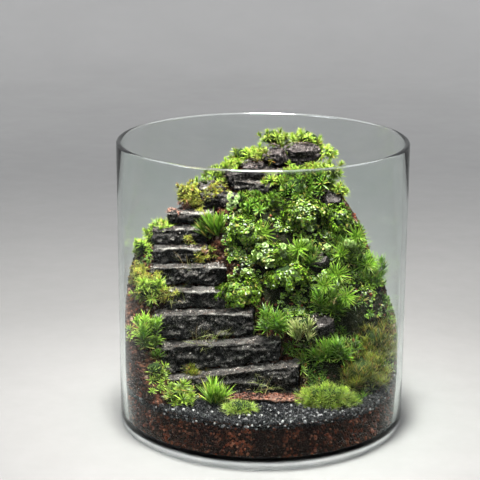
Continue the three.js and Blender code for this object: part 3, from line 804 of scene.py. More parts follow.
# %% Rocks
rock_stone = dark_stone("earthy_rock", (0.004, 0.0036, 0.0036), (0.013, 0.011, 0.011),
                        (0.090, 0.077, 0.073), (0.38, 0.34, 0.33))
for i, node in enumerate(rock_names):
    stone_piece(node, node.replace("rock_", "boulder_"), rock_stone, "rock", 0.6 * MM, 0.7 * MM,
                1.1 * MM, seed=60 + i, split=0.62, smooth=False)

# %% [markdown]
# Grit lies on every tread: splinters of the same stone, crumbs of clay, and pale dust
# grains. It breaks up the flat tops and gives the treads their speckled look.

# %% Grit on the steps
GRIT = 6500

grit = Finish("grit_on_treads")
pick = grit.tone()[1]
colour = grit.steps(pick, (0.0, (0.010, 0.009, 0.009)), (0.35, (0.035, 0.028, 0.025)),
                    (0.6, (0.07, 0.042, 0.030)), (0.88, (0.11, 0.085, 0.075)),
                    (1.0, (0.36, 0.32, 0.30)))
grit.surface(colour, grit.spots((900, 3), (0.3, 0.55), (0.7, 0.95)),
             grit.bump(grit.noise(2600, 4, 0.7), 0.3 * MM, 0.8))

rng = np.random.default_rng(24)
x, y = rng.uniform(-78, 50, GRIT) * MM, rng.uniform(-62, 80, GRIT) * MM
tread_z = heights(x, y, search_tree([*slab_names, *rock_names]))
clear = tread_z > heights(x, y, soil_tree, none=-1) + 0.5 * MM
clear &= lumps(triples(x, y, 0), 9 * MM, 77) > -0.35
places = triples(x, y, tread_z - 0.35 * MM)[clear]
grains("grit_on_steps", places, rng.uniform(0.25, 0.75, len(places)) ** 1.2 * MM, rng, 0.3, grit,
       "slab_stone", smooth=False)

# %% [markdown]
# At the foot of the steps lies a path of broken tile. Its top is crumbly and orange brown
# and its front edge is paler where the clay broke fresh. Clay crumbs lie on it.

# %% Path tile
TILE_CRUMBS = 420

tile = Finish("broken_terracotta")
front_edge = tile.tone()[0]
colour = tile.spots((380, 6, 0.75), (0.36, (0.008, 0.004, 0.003)), (0.48, (0.045, 0.014, 0.006)),
                    (0.57, (0.10, 0.028, 0.010)), (0.7, (0.22, 0.075, 0.032)))
colour = tile.mix(tile.spots((1100, 4, 0.7), (0.60, 0.0), (0.67, 0.6)), colour,
                  (0.24, 0.105, 0.062))
lip = tile.times(front_edge, tile.spots((500, 6, 0.8), (0.46, 0.0), (0.58, 0.6)))
tile.surface(tile.mix(lip, colour, (0.30, 0.16, 0.11)),
             tile.spots((600, 3), (0.3, 0.6), (0.7, 0.95)),
             tile.bump(tile.noise(1500, 6, 0.75), 0.6 * MM, 0.9))
stone_piece("path_tile", "path_of_tile", tile, "terracotta", 0.55 * MM, 1.3 * MM, 1.6 * MM,
            seed=75)

rng = np.random.default_rng(25)
low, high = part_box("path_tile")
x, y = rng.uniform(low[0], high[0], TILE_CRUMBS), rng.uniform(low[1], high[1], TILE_CRUMBS)
tile_z = heights(x, y, search_tree(["path_tile"]))
bare = tile_z > heights(x, y, soil_tree, none=-1)
places = triples(x, y, tile_z - 0.2 * MM)[bare]
grains("crumbs_on_tile", places, rng.uniform(0.3, 0.8, len(places)) * MM, rng, 0.3, clay,
       "terracotta", smooth=False)

# %% [markdown]
# ## Moss
# Every leaf is a strip of triangles: two points at each station along it, and one at its
# tip. Width, bend and fold make the kinds. The leaves of one clump are made in one go with
# arrays, since a loop over a hundred thousand leaves would take minutes.

# %% Leaves from arrays
# outlines of a leaf: (how far along it, share of its full width)
NEEDLE = ((0.0, 0.7), (0.35, 1.0), (0.7, 0.75))
SPIKE = ((0.0, 0.8), (0.35, 1.0), (0.7, 0.6))
ROUND = ((0.0, 0.35), (0.22, 0.85), (0.55, 1.0), (0.85, 0.62))
THREAD = ((0.0, 1.0), (0.25, 0.95), (0.5, 0.8), (0.75, 0.55))
HAIR = ((0.0, 1.0), (0.5, 0.8))


def leaves(base, aim, face, length, width, bend, outline, shoot, rng, fold=0.0):
    """Strips from `base` along `aim`. A leaf turns its side `face` up and bends away from it."""
    count = len(base)
    aim = unit(aim)
    side = unit(np.cross(face, aim))
    up = np.cross(aim, side)
    along, half = np.array(outline).T
    along = np.append(along, 1.0)
    spine = (base[:, None] + aim[:, None] * (length[:, None] * along)[..., None]
             - up[:, None] * (bend[:, None] * length[:, None] * along ** 2)[..., None])
    offset = side[:, None] * (width[:, None] * half / 2)[..., None]
    lift = up[:, None] * (fold * width[:, None] * half / 2)[..., None]
    rails = np.stack([spine[:, :-1] - offset + lift, spine[:, :-1] + offset + lift], 2)
    points = np.concatenate([rails.reshape(count, -1, 3), spine[:, -1:]], 1)
    faces = []
    for k in range(0, 2 * len(half) - 2, 2):
        faces += [(k, k + 1, k + 3), (k, k + 3, k + 2)]
    tip = 2 * len(half)
    faces.append((tip - 2, tip - 1, tip))
    tone = np.empty((count, tip + 1, 3))
    tone[..., 0] = np.append(np.repeat(along[:-1], 2), 1.0)
    tone[..., 1] = rng.uniform(0, 1, (count, 1))
    tone[..., 2] = shoot[:, None]
    return points, faces, tone


def moss_piece(name, parts, finish, slot, stands_for=()):
    """One piece from sets of leaves. Those that end inside something hard are left out."""
    points, triangles, tones, start = [], [], [], 0
    for leaf_points, faces, tone in parts:
        free = in_the_open(leaf_points[:, -1])
        kept = leaf_points[free]
        points.append(kept.reshape(-1, 3))
        triangles.append(copies(faces, *kept.shape[:2]) + start)
        tones.append(tone[free].reshape(-1, 3))
        start += len(points[-1])
    mesh_piece(name, inside_glass(np.concatenate(points)), np.concatenate(triangles), finish, slot,
               np.concatenate(tones), stands_for=stands_for)


# %% [markdown]
# A clump of the frame is a solid. Its outline is found by rays shot at its middle from all
# round, and shoots are spread over it with an even spacing. The way a shoot points is a
# mix of outwards and upwards, since moss seeks the light. Inside, a small dark lump keeps
# light from showing through between the leaves.

# %% The outline of a clump
GOLDEN_TURN = math.pi * (3 - 5 ** 0.5)
OUTSIDE = 60 * MM  # rays start this far from the middle


def even_directions(count, lowest=-0.45):
    k = np.arange(count) + 0.5
    z = 1 - (1 - lowest) * k / count
    flat = np.sqrt(1 - z * z)
    return triples(flat * np.cos(k * GOLDEN_TURN), flat * np.sin(k * GOLDEN_TURN), z)


def keep_apart(points, spacing, rng):
    """Indices of points that are at least `spacing` from each other, in random order."""
    cells, kept = {}, []
    keys = np.floor(points / spacing).astype(int)
    for i in rng.permutation(len(points)).tolist():
        a, b, c = keys[i].tolist()
        near = [j for da, db, dc in product((-1, 0, 1), repeat=3)
                for j in cells.get((a + da, b + db, c + dc), ())]
        if near and np.min(np.sum((points[near] - points[i]) ** 2, axis=1)) < spacing ** 2:
            continue
        cells.setdefault((a, b, c), []).append(i)
        kept.append(i)
    return kept


def clump_shape(node):
    """Middle, half size and search tree of a clump. The middle is taken a little low."""
    low, high = (np.array(corner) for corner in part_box(node))
    middle = (low + high) / 2
    middle[2] = low[2] + 0.42 * (high[2] - low[2])
    return middle, (high - low) / 2, search_tree([node])


def seen_from(direction, middle, tree):
    """Where a ray from this side to the middle meets the clump, or None."""
    hit = tree.ray_cast(Vector(middle + direction * OUTSIDE), Vector(-direction))[0]
    return None if hit is None else np.array(hit)


def clump_outline(node, spacing, rng, upward=0.5, sink=0.0):
    """Places and directions of shoots on a clump, about `spacing` apart, and its middle."""
    middle, half, tree = clump_shape(node)
    area = 2.6 * math.pi * float(np.mean(half)) ** 2
    found, aims = [], []
    for direction in even_directions(int(3.2 * area / spacing ** 2) + 60):
        direction = direction + rng.normal(0, 0.06, 3)
        direction /= np.linalg.norm(direction)
        place = seen_from(direction, middle, tree)
        if place is None:
            continue
        outward = unit((place - middle) / np.maximum(half, 1 * MM) ** 1.2)
        aims.append(unit(outward + np.array([0, 0, upward]) + rng.normal(0, 0.13, 3)))
        found.append(place - aims[-1] * sink)
    found, aims = np.array(found), np.array(aims)
    kept = np.array(keep_apart(found, 0.72 * spacing, rng))
    kept = kept[in_the_open(found[kept] + aims[kept] * MM)]
    return found[kept], aims[kept], middle


def ball(levels):
    """A sphere of triangles: each level splits every triangle into four."""
    points, faces = list(ICO_POINTS), ICO_FACES
    for _ in range(levels):
        mids, new_faces = {}, []

        def middle_of(a, b):
            key = (min(a, b), max(a, b))
            if key not in mids:
                mids[key] = len(points)
                points.append(unit(points[a] + points[b]))
            return mids[key]

        for a, b, c in faces:
            ab, bc, ca = middle_of(a, b), middle_of(b, c), middle_of(c, a)
            new_faces += [(a, ab, ca), (b, bc, ab), (c, ca, bc), (ab, bc, ca)]
        faces = np.array(new_faces)
    return np.array(points), faces


BALL_POINTS, BALL_FACES = ball(2)


def core_points(node, share, seed):
    """Points of a rough ball inside a clump, `share` of the way out to its outline."""
    middle, _, tree = clump_shape(node)
    hits = [seen_from(direction, middle, tree) for direction in BALL_POINTS]
    reach = np.array([2 * MM if hit is None else np.linalg.norm(hit - middle) for hit in hits])
    reach = np.minimum(reach, np.median(reach) * 1.6)
    out = middle + BALL_POINTS * (reach * share)[:, None]
    return out + BALL_POINTS * (rough(out, 3 * MM, seed) * 0.5 * MM)[:, None]


# %% [markdown]
# A moss leaf is one cell thick, so part of its light comes through from behind. The shader
# mixes a plain surface with a translucent one. Colour runs from a dark foot to a pale tip;
# the dark foot is partly painted shade deep in the clump. Colour shifts from shoot to shoot,
# patches of about 12 mm are painted darker as painted shade, and a few leaves are brown.
# Round leaves are wet and have a thin coat.

# %% Moss finish
MOSSES = {
    # colour of a leaf's foot (darker partly as painted shade), middle and tip, and of an old leaf;
    # share of old leaves, share of light let through, roughness, tone of the darkest shoots and
    # of the painted shade patches
    "star_moss": ((0.010, 0.042, 0.002), (0.125, 0.250, 0.008), (0.46, 0.60, 0.10),
                  (0.30, 0.20, 0.05), 0.06, 0.28, 0.36, 0.42),
    "golden_moss": ((0.030, 0.030, 0.004), (0.150, 0.170, 0.010), (0.42, 0.44, 0.06),
                    (0.26, 0.11, 0.025), 0.09, 0.25, 0.5, 0.4),
    "needle_moss": ((0.001, 0.009, 0.001), (0.015, 0.072, 0.002), (0.19, 0.35, 0.028),
                    (0.22, 0.19, 0.05), 0.05, 0.24, 0.34, 0.22),
    "leafy_moss": ((0.001, 0.007, 0.001), (0.012, 0.055, 0.001), (0.19, 0.32, 0.024),
                   (0.24, 0.22, 0.05), 0.07, 0.24, 0.22, 0.18),
    "cushion_moss": ((0.03, 0.08, 0.005), (0.22, 0.36, 0.026), (0.60, 0.70, 0.20),
                     (0.34, 0.24, 0.07), 0.05, 0.35, 0.45, 0.6),
    "shaded_cushion_moss": ((0.015, 0.038, 0.002), (0.120, 0.210, 0.007), (0.42, 0.54, 0.09),
                            (0.34, 0.24, 0.07), 0.05, 0.35, 0.45, 0.5),
    "brown_moss": ((0.006, 0.013, 0.001), (0.046, 0.072, 0.002), (0.29, 0.32, 0.035),
                   (0.24, 0.11, 0.02), 0.12, 0.4, 0.5, 0.38),
    "fresh_moss": ((0.004, 0.026, 0.001), (0.060, 0.180, 0.004), (0.38, 0.57, 0.070),
                   (0.30, 0.26, 0.06), 0.03, 0.3, 0.36, 0.5),
    "pale_rosette_moss": ((0.010, 0.040, 0.005), (0.110, 0.220, 0.035), (0.42, 0.55, 0.21),
                          (0.34, 0.30, 0.12), 0.04, 0.3, 0.24, 0.5),
    "pale_tipped_moss": ((0.006, 0.025, 0.002), (0.110, 0.190, 0.012), (0.58, 0.62, 0.26),
                         (0.30, 0.24, 0.10), 0.08, 0.3, 0.5, 0.38),
    "shaded_star_moss": ((0.002, 0.016, 0.001), (0.034, 0.118, 0.003), (0.23, 0.39, 0.038),
                         (0.28, 0.22, 0.05), 0.05, 0.26, 0.36, 0.35),
    "thread_grass": ((0.04, 0.08, 0.01), (0.14, 0.20, 0.03), (0.40, 0.40, 0.14),
                     (0.30, 0.20, 0.10), 0.2, 0.3, 0.5, 0.38),
    "dry_sprigs": ((0.05, 0.015, 0.010), (0.22, 0.07, 0.045), (0.50, 0.30, 0.22),
                   (0.10, 0.04, 0.03), 0.3, 0.15, 0.5, 0.38),
}
WET = ("leafy_moss", "pale_rosette_moss")


def moss_finish(name, foot, body, tip, old, old_share, through, gloss, dark):
    finish = Finish(name)
    along, leaf, shoot = finish.tone()
    # the dark foot is partly painted shade deep in the clump
    colour = finish.steps(along, (0.0, foot), (0.5, body), (1.0, tip))
    colour = finish.shade(colour, finish.steps(shoot, (0.0, dark + 0.02), (0.5, 0.85), (1.0, 1.35)))
    # painted shade: random patches of about 12 mm are painted darker
    colour = finish.shade(colour, finish.spots((80, 3), (0.34, dark), (0.64, 1.25)))
    warm = finish.steps(leaf, (0.0, 0.0), (0.6, 0.08), (0.9, 0.35), (1.0, 0.8))
    colour = finish.mix(warm, colour, tip)
    is_old = finish.steps(leaf, (old_share, 1.0), (old_share + 0.02, 0.0))
    colour = finish.mix(finish.times(is_old, 0.8), colour, old)
    colour = finish.shade(colour, finish.spots((2400, 3), (0.35, 0.82), (0.65, 1.08)))
    normal = finish.bump(finish.noise(2600, 2), 0.12 * MM, 0.5)
    finish.surface(colour, finish.spots((800, 2), (0.3, gloss - 0.12), (0.7, gloss + 0.2)), normal,
                   0.25)
    if name in WET:
        finish.shader.inputs["Coat Weight"].default_value = 0.2
        finish.shader.inputs["Coat Roughness"].default_value = 0.1
    behind = finish.node("ShaderNodeBsdfTranslucent", {"Color": colour, "Normal": normal})
    finish.link(finish.blend(through, finish.shader.outputs["BSDF"], behind.outputs["BSDF"]),
                finish.out.inputs["Surface"])
    return finish


moss = {name: moss_finish(name, *numbers) for name, numbers in MOSSES.items()}
inner = Finish("shaded_moss_core")
inner.surface(inner.spots((900, 5, 0.7), (0.3, (0.004, 0.008, 0.003)),
                          (0.55, (0.014, 0.030, 0.006)), (0.8, (0.035, 0.05, 0.012))),
              inner.spots((600, 3), (0.3, 0.75), (0.7, 1.0)),
              inner.bump(inner.noise(1300, 5, 0.75), 1 * MM), 0.1)

# %% [markdown]
# Most kinds end each shoot in a star of leaves, short and upright in the middle, longer and
# leaning out at the rim. A star is given by seven numbers: how long its leaves are, how many
# there are, how wide they are, how far the first and the last lean over in degrees, their
# outline, and their bend. Sizes in these rows and in the tables below are in millimetres.

# %% Kinds of shoot
LEAF_TURN = math.radians(137.5)  # from one leaf to the next round a shoot, as in most plants


def frames_for(aims, rng):
    """Two directions square to each aim and to each other."""
    first = unit(np.cross(aims, unit(rng.normal(size=aims.shape))))
    return first, np.cross(aims, first)


def lean_out(aims, sides, lean, turn):
    """Directions that lean away from each aim by `lean`, turned round it by `turn`."""
    first, second = sides
    lean, turn = lean[..., None], turn[..., None]
    return np.cos(lean) * aims[:, None] + np.sin(lean) * (
        np.cos(turn) * first[:, None] + np.sin(turn) * second[:, None])


def stars(places, aims, form, rng):
    length, each, width, first_lean, last_lean, outline, bend = form
    count, flat = len(places), len(places) * each
    sides = frames_for(aims, rng)
    j = np.arange(each)
    turn = j * LEAF_TURN + rng.uniform(0, 6.28, (count, 1)) + rng.normal(0, 0.12, (count, each))
    share = (j + 0.5) / each
    lean = (np.radians(first_lean + (last_lean - first_lean) * share ** 0.8)
            + rng.normal(0, 0.1, (count, each)))
    aim = lean_out(aims, sides, lean, turn)
    scale = rng.uniform(0.75, 1.15, (count, 1)) * (length * MM)
    length = scale * (0.55 + 0.45 * share) * rng.uniform(0.85, 1.12, (count, each))
    base = places[:, None] - aims[:, None] * (scale * 0.35 * share)[..., None]
    shoot = np.repeat(rng.uniform(0, 1, count), each)
    face = np.repeat(aims, each, 0) + rng.normal(0, 0.12, (flat, 3))
    return leaves(base.reshape(-1, 3), aim.reshape(-1, 3), face, length.reshape(-1),
                  np.full(flat, width * MM) * rng.uniform(0.8, 1.2, flat),
                  bend * rng.uniform(0.4, 1.3, flat), outline, shoot, rng, fold=0.5)


def sprays(node, rng, shoots, lean, form):
    """Tall sprays of long leaves that all rise from near the foot of a clump."""
    low, high = (np.array(corner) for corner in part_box(node))
    middle, size = (low + high) / 2, high - low
    places = middle + rng.uniform(-1, 1, (shoots, 3)) * size * np.array([0.2, 0.2, 0])
    places[:, 2] = low[2] + rng.uniform(0.08, 0.42, shoots) * size[2]
    foot = np.array([middle[0], middle[1], low[2] - 0.25 * size[2]])
    return [stars(places, unit(unit(places - foot) + np.array(lean)), form, rng)]


def plumes(node, rng, shoots, each, length, width, fan=0.5, highest=False, start=0.38):
    """Stems that fan out from the foot of a clump, with fine leaves all along them."""
    places, _, middle = clump_outline(node, 5.5 * MM, rng, upward=0.75)
    chosen = rng.choice(len(places), min(shoots, len(places)), replace=False)
    if highest:
        chosen = np.argsort(-places[:, 2])[:shoots]
    foot = np.array([middle[0], middle[1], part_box(node)[0][2] + 1 * MM])
    tops = places[chosen]
    roots = foot + (tops - foot) * np.array([fan, fan, 0.0]) + rng.normal(0, 0.8 * MM, tops.shape)
    rise = np.linalg.norm(tops - roots, axis=1, keepdims=True)
    tops = tops - unit(tops - roots) * np.minimum(0.45 * length * MM, 0.3 * rise)
    share = np.linspace(start, 1, each)
    bow = unit(np.cross(tops - roots, rng.normal(size=tops.shape))) * rise * 0.08
    stem = (roots[:, None] + (tops - roots)[:, None] * share[None, :, None]
            + bow[:, None] * (share * (1 - share) * 4)[None, :, None])
    aims = unit(tops - roots + np.array([0, 0, 0.3]) * rise)
    sides = frames_for(aims, rng)
    count, flat = len(tops), len(tops) * each
    turn = np.arange(each) * LEAF_TURN + rng.uniform(0, 6.28, (count, 1))
    lean = (np.radians(72 - 48 * (share - start) / (1 - start))[None]
            + rng.normal(0, 0.14, (count, each)))
    out = lean_out(aims, sides, lean, turn)
    lengths = length * MM * rng.uniform(0.75, 1.15, flat)
    shoot = np.repeat(rng.uniform(0, 1, count), each)
    body = leaves(stem.reshape(-1, 3), out.reshape(-1, 3), np.repeat(aims, each, 0), lengths,
                  np.full(flat, width * MM), 0.18 * rng.uniform(0.2, 1.4, flat), NEEDLE, shoot,
                  rng, fold=0.3)
    crown = (length * 0.9, 14, width, 6, 52, NEEDLE, 0.1)
    return [body, stars(tops, aims, crown, rng)]


# %% [markdown]
# Each clump now gets its kind. The kind is read from the clump's slot in the record, so the
# frame and the looks can't disagree. A few clumps differ from the rest of their kind in form
# or in colour and have rows of their own.

# %% Clumps of the frame
HEADS = {  # spacing of the shoots, how far up they point, how deep they start, star
    "star_moss": (6.6, 0.7, 3.4, (7.0, 26, 0.8, 8, 84, SPIKE, 0.05)),
    "golden_moss": (4.2, 0.6, 2.4, (5.2, 18, 0.95, 8, 86, SPIKE, 0.12)),
    "moss_green_upper": (5.6, 0.6, 3.0, (5.8, 28, 0.8, 6, 86, SPIKE, 0.08)),
    "leafy_moss": (2.7, 0.35, 1.2, (3.0, 7, 2.34, 35, 100, ROUND, 0.15)),
    "cushion_moss": (3.0, 0.6, 3.6, (6.4, 22, 0.34, 2, 62, HAIR, 0.08)),
}
SPRAYS = {  # number of shoots, which way they lean, star
    "moss_feather": (7, (-0.6, -0.15, 0.9), (17.5, 26, 1.2, 4, 42, SPIKE, 0.08)),
    "moss_tuft_front": (10, (0.15, -0.1, 0.7), (15.5, 24, 0.75, 4, 46, SPIKE, 0.08)),
    "moss_tuft_olive": (16, (0, -0.15, 0.4), (11.0, 22, 0.6, 4, 45, NEEDLE, 0.08)),
}
PLUMES = {  # number of stems, leaves on each, their length and width, how far the stems fan out,
    # whether they go to the highest places, how far up a stem its leaves begin
    "moss_tuft_left": (6, 70, 7.5, 0.85, 0.6, True, 0.0),
    "needle_moss": (15, 34, 9.5, 0.66),
    "brown_moss": (34, 40, 7.5, 0.34, 0.8),
}
OWN_FINISH = {
    "moss_feather": "shaded_star_moss", "moss_tuft_left": "fresh_moss",
    "moss_tuft_front": "fresh_moss", "moss_tuft_olive": "pale_tipped_moss",
    "moss_star_side": "shaded_star_moss", "moss_star_slope": "shaded_star_moss",
    "moss_green_upper": "shaded_star_moss", "moss_cushion_right": "shaded_cushion_moss"}
CORE_SHARE = {"needle_moss": 0.42, "leafy_moss": 0.72, "cushion_moss": 0.7, "brown_moss": 0.6,
              "star_moss": 0.62, "golden_moss": 0.62}

kinds = {part["node"]: part["material_slot"] for part in frame["record"]["subparts"]}
cores = []
for number, node in enumerate(moss_names):
    rng = np.random.default_rng(500 + number)
    kind = kinds[node]
    form = node if node in {**HEADS, **SPRAYS, **PLUMES} else kind
    if form in SPRAYS:
        parts = sprays(node, rng, *SPRAYS[form])
    elif form in PLUMES:
        parts = plumes(node, rng, *PLUMES[form])
    else:
        spacing, upward, sink, star = HEADS[form]
        places, aims, _ = clump_outline(node, spacing * MM, rng, upward, sink * MM)
        if form == "leafy_moss":
            full = rough(places, 8 * MM, number) > -0.3
            places, aims = places[full], aims[full]
        parts = [stars(places, aims, star, rng)]
    moss_piece(node.replace("moss_", "living_"), parts, moss[OWN_FINISH.get(node, kind)], kind,
               [node])
    cores.append(core_points(node, CORE_SHARE[kind], number))
mesh_piece("shade_inside_moss", inside_glass(np.concatenate(cores)),
           copies(BALL_FACES, len(cores), len(BALL_POINTS)), inner, "brown_moss")
print("with moss:", sum(made.values()), "triangles")

# %% [markdown]
# Between the clumps the hill is green too. A carpet of short moss covers the soil: places
# are spread evenly over the bank, those under stones or clumps are dropped, and what is
# left gets a kind by where it is. Bright stars grow near the top, round leaves on the
# slope, dark needles low down where it is wet, and bare soil shows beside the steps.

# %% Carpet on the bank
def spread_over(names, per_square_mm, rng):
    """Random places all over some solids, and the way their surface faces there."""
    points, triangles = solid_arrays(names)
    a, b, c = (points[triangles[:, k]].astype(float) for k in range(3))
    cross = np.cross(b - a, c - a)
    size = np.linalg.norm(cross, axis=1) / 2
    count = int(size.sum() / MM ** 2 * per_square_mm)
    pick = rng.choice(len(size), count, p=size / size.sum())
    u, v = rng.uniform(size=(2, count))
    flip = u + v > 1
    u, v = np.where(flip, 1 - u, u)[:, None], np.where(flip, 1 - v, v)[:, None]
    places = a[pick] + u * (b[pick] - a[pick]) + v * (c[pick] - a[pick])
    return places, cross[pick] / (2 * size[pick, None])


rng = np.random.default_rng(81)
places, normals = spread_over(["soil_bank"], 0.8, rng)
keep = ((np.hypot(places[:, 0], places[:, 1]) < 94.5 * MM) & (normals[:, 2] > 0.08)
        & (places[:, 2] > gravel_top(places[:, 0], places[:, 1]) + 1 * MM))
places, normals = places[keep], normals[keep]
keep = keep_apart(places, 1.5 * MM, rng)
places = places[keep]
normals = unit(normals[keep] + 0.5 * triples(*(rough(places, 15 * MM, k) for k in (1, 2, 3))))
for tree, height in ((stone_tree, 0.8 * MM), (search_tree(moss_names), 1.5 * MM)):
    keep = in_the_open(places + normals * height, tree, 30 * MM)
    places, normals = places[keep], normals[keep]
places[:, 2] += mounds(*places.T)
x, y, z = (places / MM).T
patches, kind_field = rough(places, 16 * MM, 7), rough(places, 13 * MM, 9)
slope = (right_of_stairs(places[:, 0], places[:, 2]) > 0.05) & (y < 70)
left = ~slope & (y < 55)
cover = patches > np.where(slope, -0.34, np.where(left, 0.12, -0.1))
bright = (kind_field > np.where(z > 138, -0.35, 0.42)) | (left & (z < 80))
low = slope & (((z < 76) & (kind_field < 0.45)) | ((x > 30) & (z < 125) & (kind_field < 0.1)))
sparse = np.zeros(len(places), bool)
sparse[keep_apart(places, 4.2 * MM, rng)] = True
aims = unit(normals + np.array([0, -0.15, 0.55]) + rng.normal(0, 0.15, places.shape))
SHORT_STAR = (6.0, 20, 0.75, 8, 84, SPIKE, 0.05)
CARPETS = [  # name, where, finish, slot, star
    ("carpet_of_stars", bright & sparse & ~slope, "star_moss", "star_moss", SHORT_STAR),
    ("carpet_in_shade", bright & sparse & slope, "shaded_star_moss", "star_moss", SHORT_STAR),
    ("carpet_of_leaves", ~bright & ~low, "leafy_moss", "leafy_moss",
     (2.4, 5, 1.872, 35, 100, ROUND, 0.15)),
    ("carpet_of_needles", low & sparse, "needle_moss", "needle_moss",
     (7.0, 20, 0.42, 5, 75, NEEDLE, 0.15)),
]
for name, area, finish, slot, star in CARPETS:
    area = area & cover
    lifted = places[area] + aims[area] * 0.9 * MM
    moss_piece(name, [stars(lifted, aims[area], star, rng)], moss[finish], slot)

# %% [markdown]
# On the crest the stars close up to one band behind and beside the rocks, and single
# shoots stand between the clumps. Each small mound here is a half ellipsoid of stars.

# %% Mounds of stars between the clumps
CREST_MOUNDS = [  # centre and half sizes
    ((21, 84, 184), (9, 6, 7)), ((47, 72, 176), (8, 7, 8)), ((-3, 79, 176), (8, 6, 6)),
    ((44, 60, 166), (8, 7, 7)), ((-22, 70, 168), (9, 6, 6)), ((-38, 64, 160), (8, 6, 6)),
    ((36, 62, 168), (7, 5, 6)), ((2, 70, 176), (7, 4, 5)), ((56, 54, 150), (8, 7, 8)),
    ((8, 48, 158), (9, 5, 6)), ((20, 58, 166), (8, 5, 5)), ((-64, 40, 130), (8, 7, 6)),
    ((20, 80, 175), (7, 5, 6))]


def dome_places(centre, half, spacing, rng):
    centre, half = np.array(centre) * MM, np.array(half) * MM
    directions = even_directions(int(9 * np.mean(half) ** 2 / spacing ** 2) + 12, -0.1)
    directions = unit(directions + rng.normal(0, 0.08, directions.shape))
    points = centre + directions * half
    kept = keep_apart(points, 0.75 * spacing, rng)
    return points[kept], unit(directions[kept] / (half / half.max()) + np.array([0, 0, 0.5]))


rng = np.random.default_rng(91)
parts = []
for centre, half in CREST_MOUNDS:
    places, aims = dome_places(centre, half, 6.0 * MM, rng)
    parts.append(stars(places - aims * 2.4 * MM, aims, (6.6, 24, 0.78, 8, 84, SPIKE, 0.05), rng))
moss_piece("crest_stars", parts, moss["star_moss"], "star_moss")

# %% [markdown]
# Small growths make the planting look grown in: golden moss in the corners of the steps,
# pale rosettes on the slope, star heads that lean out to the light, thin grass at the
# risers, and dry red-brown sprigs on one step. A spot is given as it is seen from the
# front: across and above the base, on an upright plane through the jar's axis. A ray from
# the eye through that point finds the surface that carries the growth.

# %% Small growths
everything_tree = search_tree(["soil_bank", *slab_names, *rock_names, *moss_names])


def on_the_front(x, z, radius, spacing, upward):
    """Places and directions of shoots round (x, z) on what the eye sees there."""
    count = max(1, int(2.6 * (radius / spacing) ** 2))
    reach, turn = radius * np.sqrt(rng.uniform(0, 1, count)), rng.uniform(0, 2 * math.pi, count)
    places, aims = [], []
    for dx, dz in zip(reach * np.cos(turn), 0.7 * reach * np.sin(turn)):
        sight = Vector(((x + dx) * MM, 0.0, (z + dz) * MM)) - EYE
        hit, normal, _, _ = everything_tree.ray_cast(EYE, sight.normalized())
        if hit is not None:
            places.append(np.array(hit))
            aims.append(unit(0.6 * np.array(normal) + np.array([0, -0.15, upward])
                             + rng.normal(0, 0.15, 3)))
    return np.array(places), np.array(aims)


def grass(places, aims):
    count = len(places)
    aim = aims + rng.normal(0, 0.45, (count, 3))
    return leaves(places, aim, unit(rng.normal(size=(count, 3))), rng.uniform(6, 13, count) * MM,
                  np.full(count, 0.28 * MM), rng.uniform(0.3, 0.9, count), THREAD,
                  rng.uniform(0, 1, count), rng)


def heads_to_the_light(places, aims):
    turned = unit(aims * np.array([1, 1, 0.4]) + np.array([0, -0.9, 0.1]))
    return stars(places + aims * 2.5 * MM, turned, (11, 46, 0.55, 3, 92, NEEDLE, 0.05), rng)


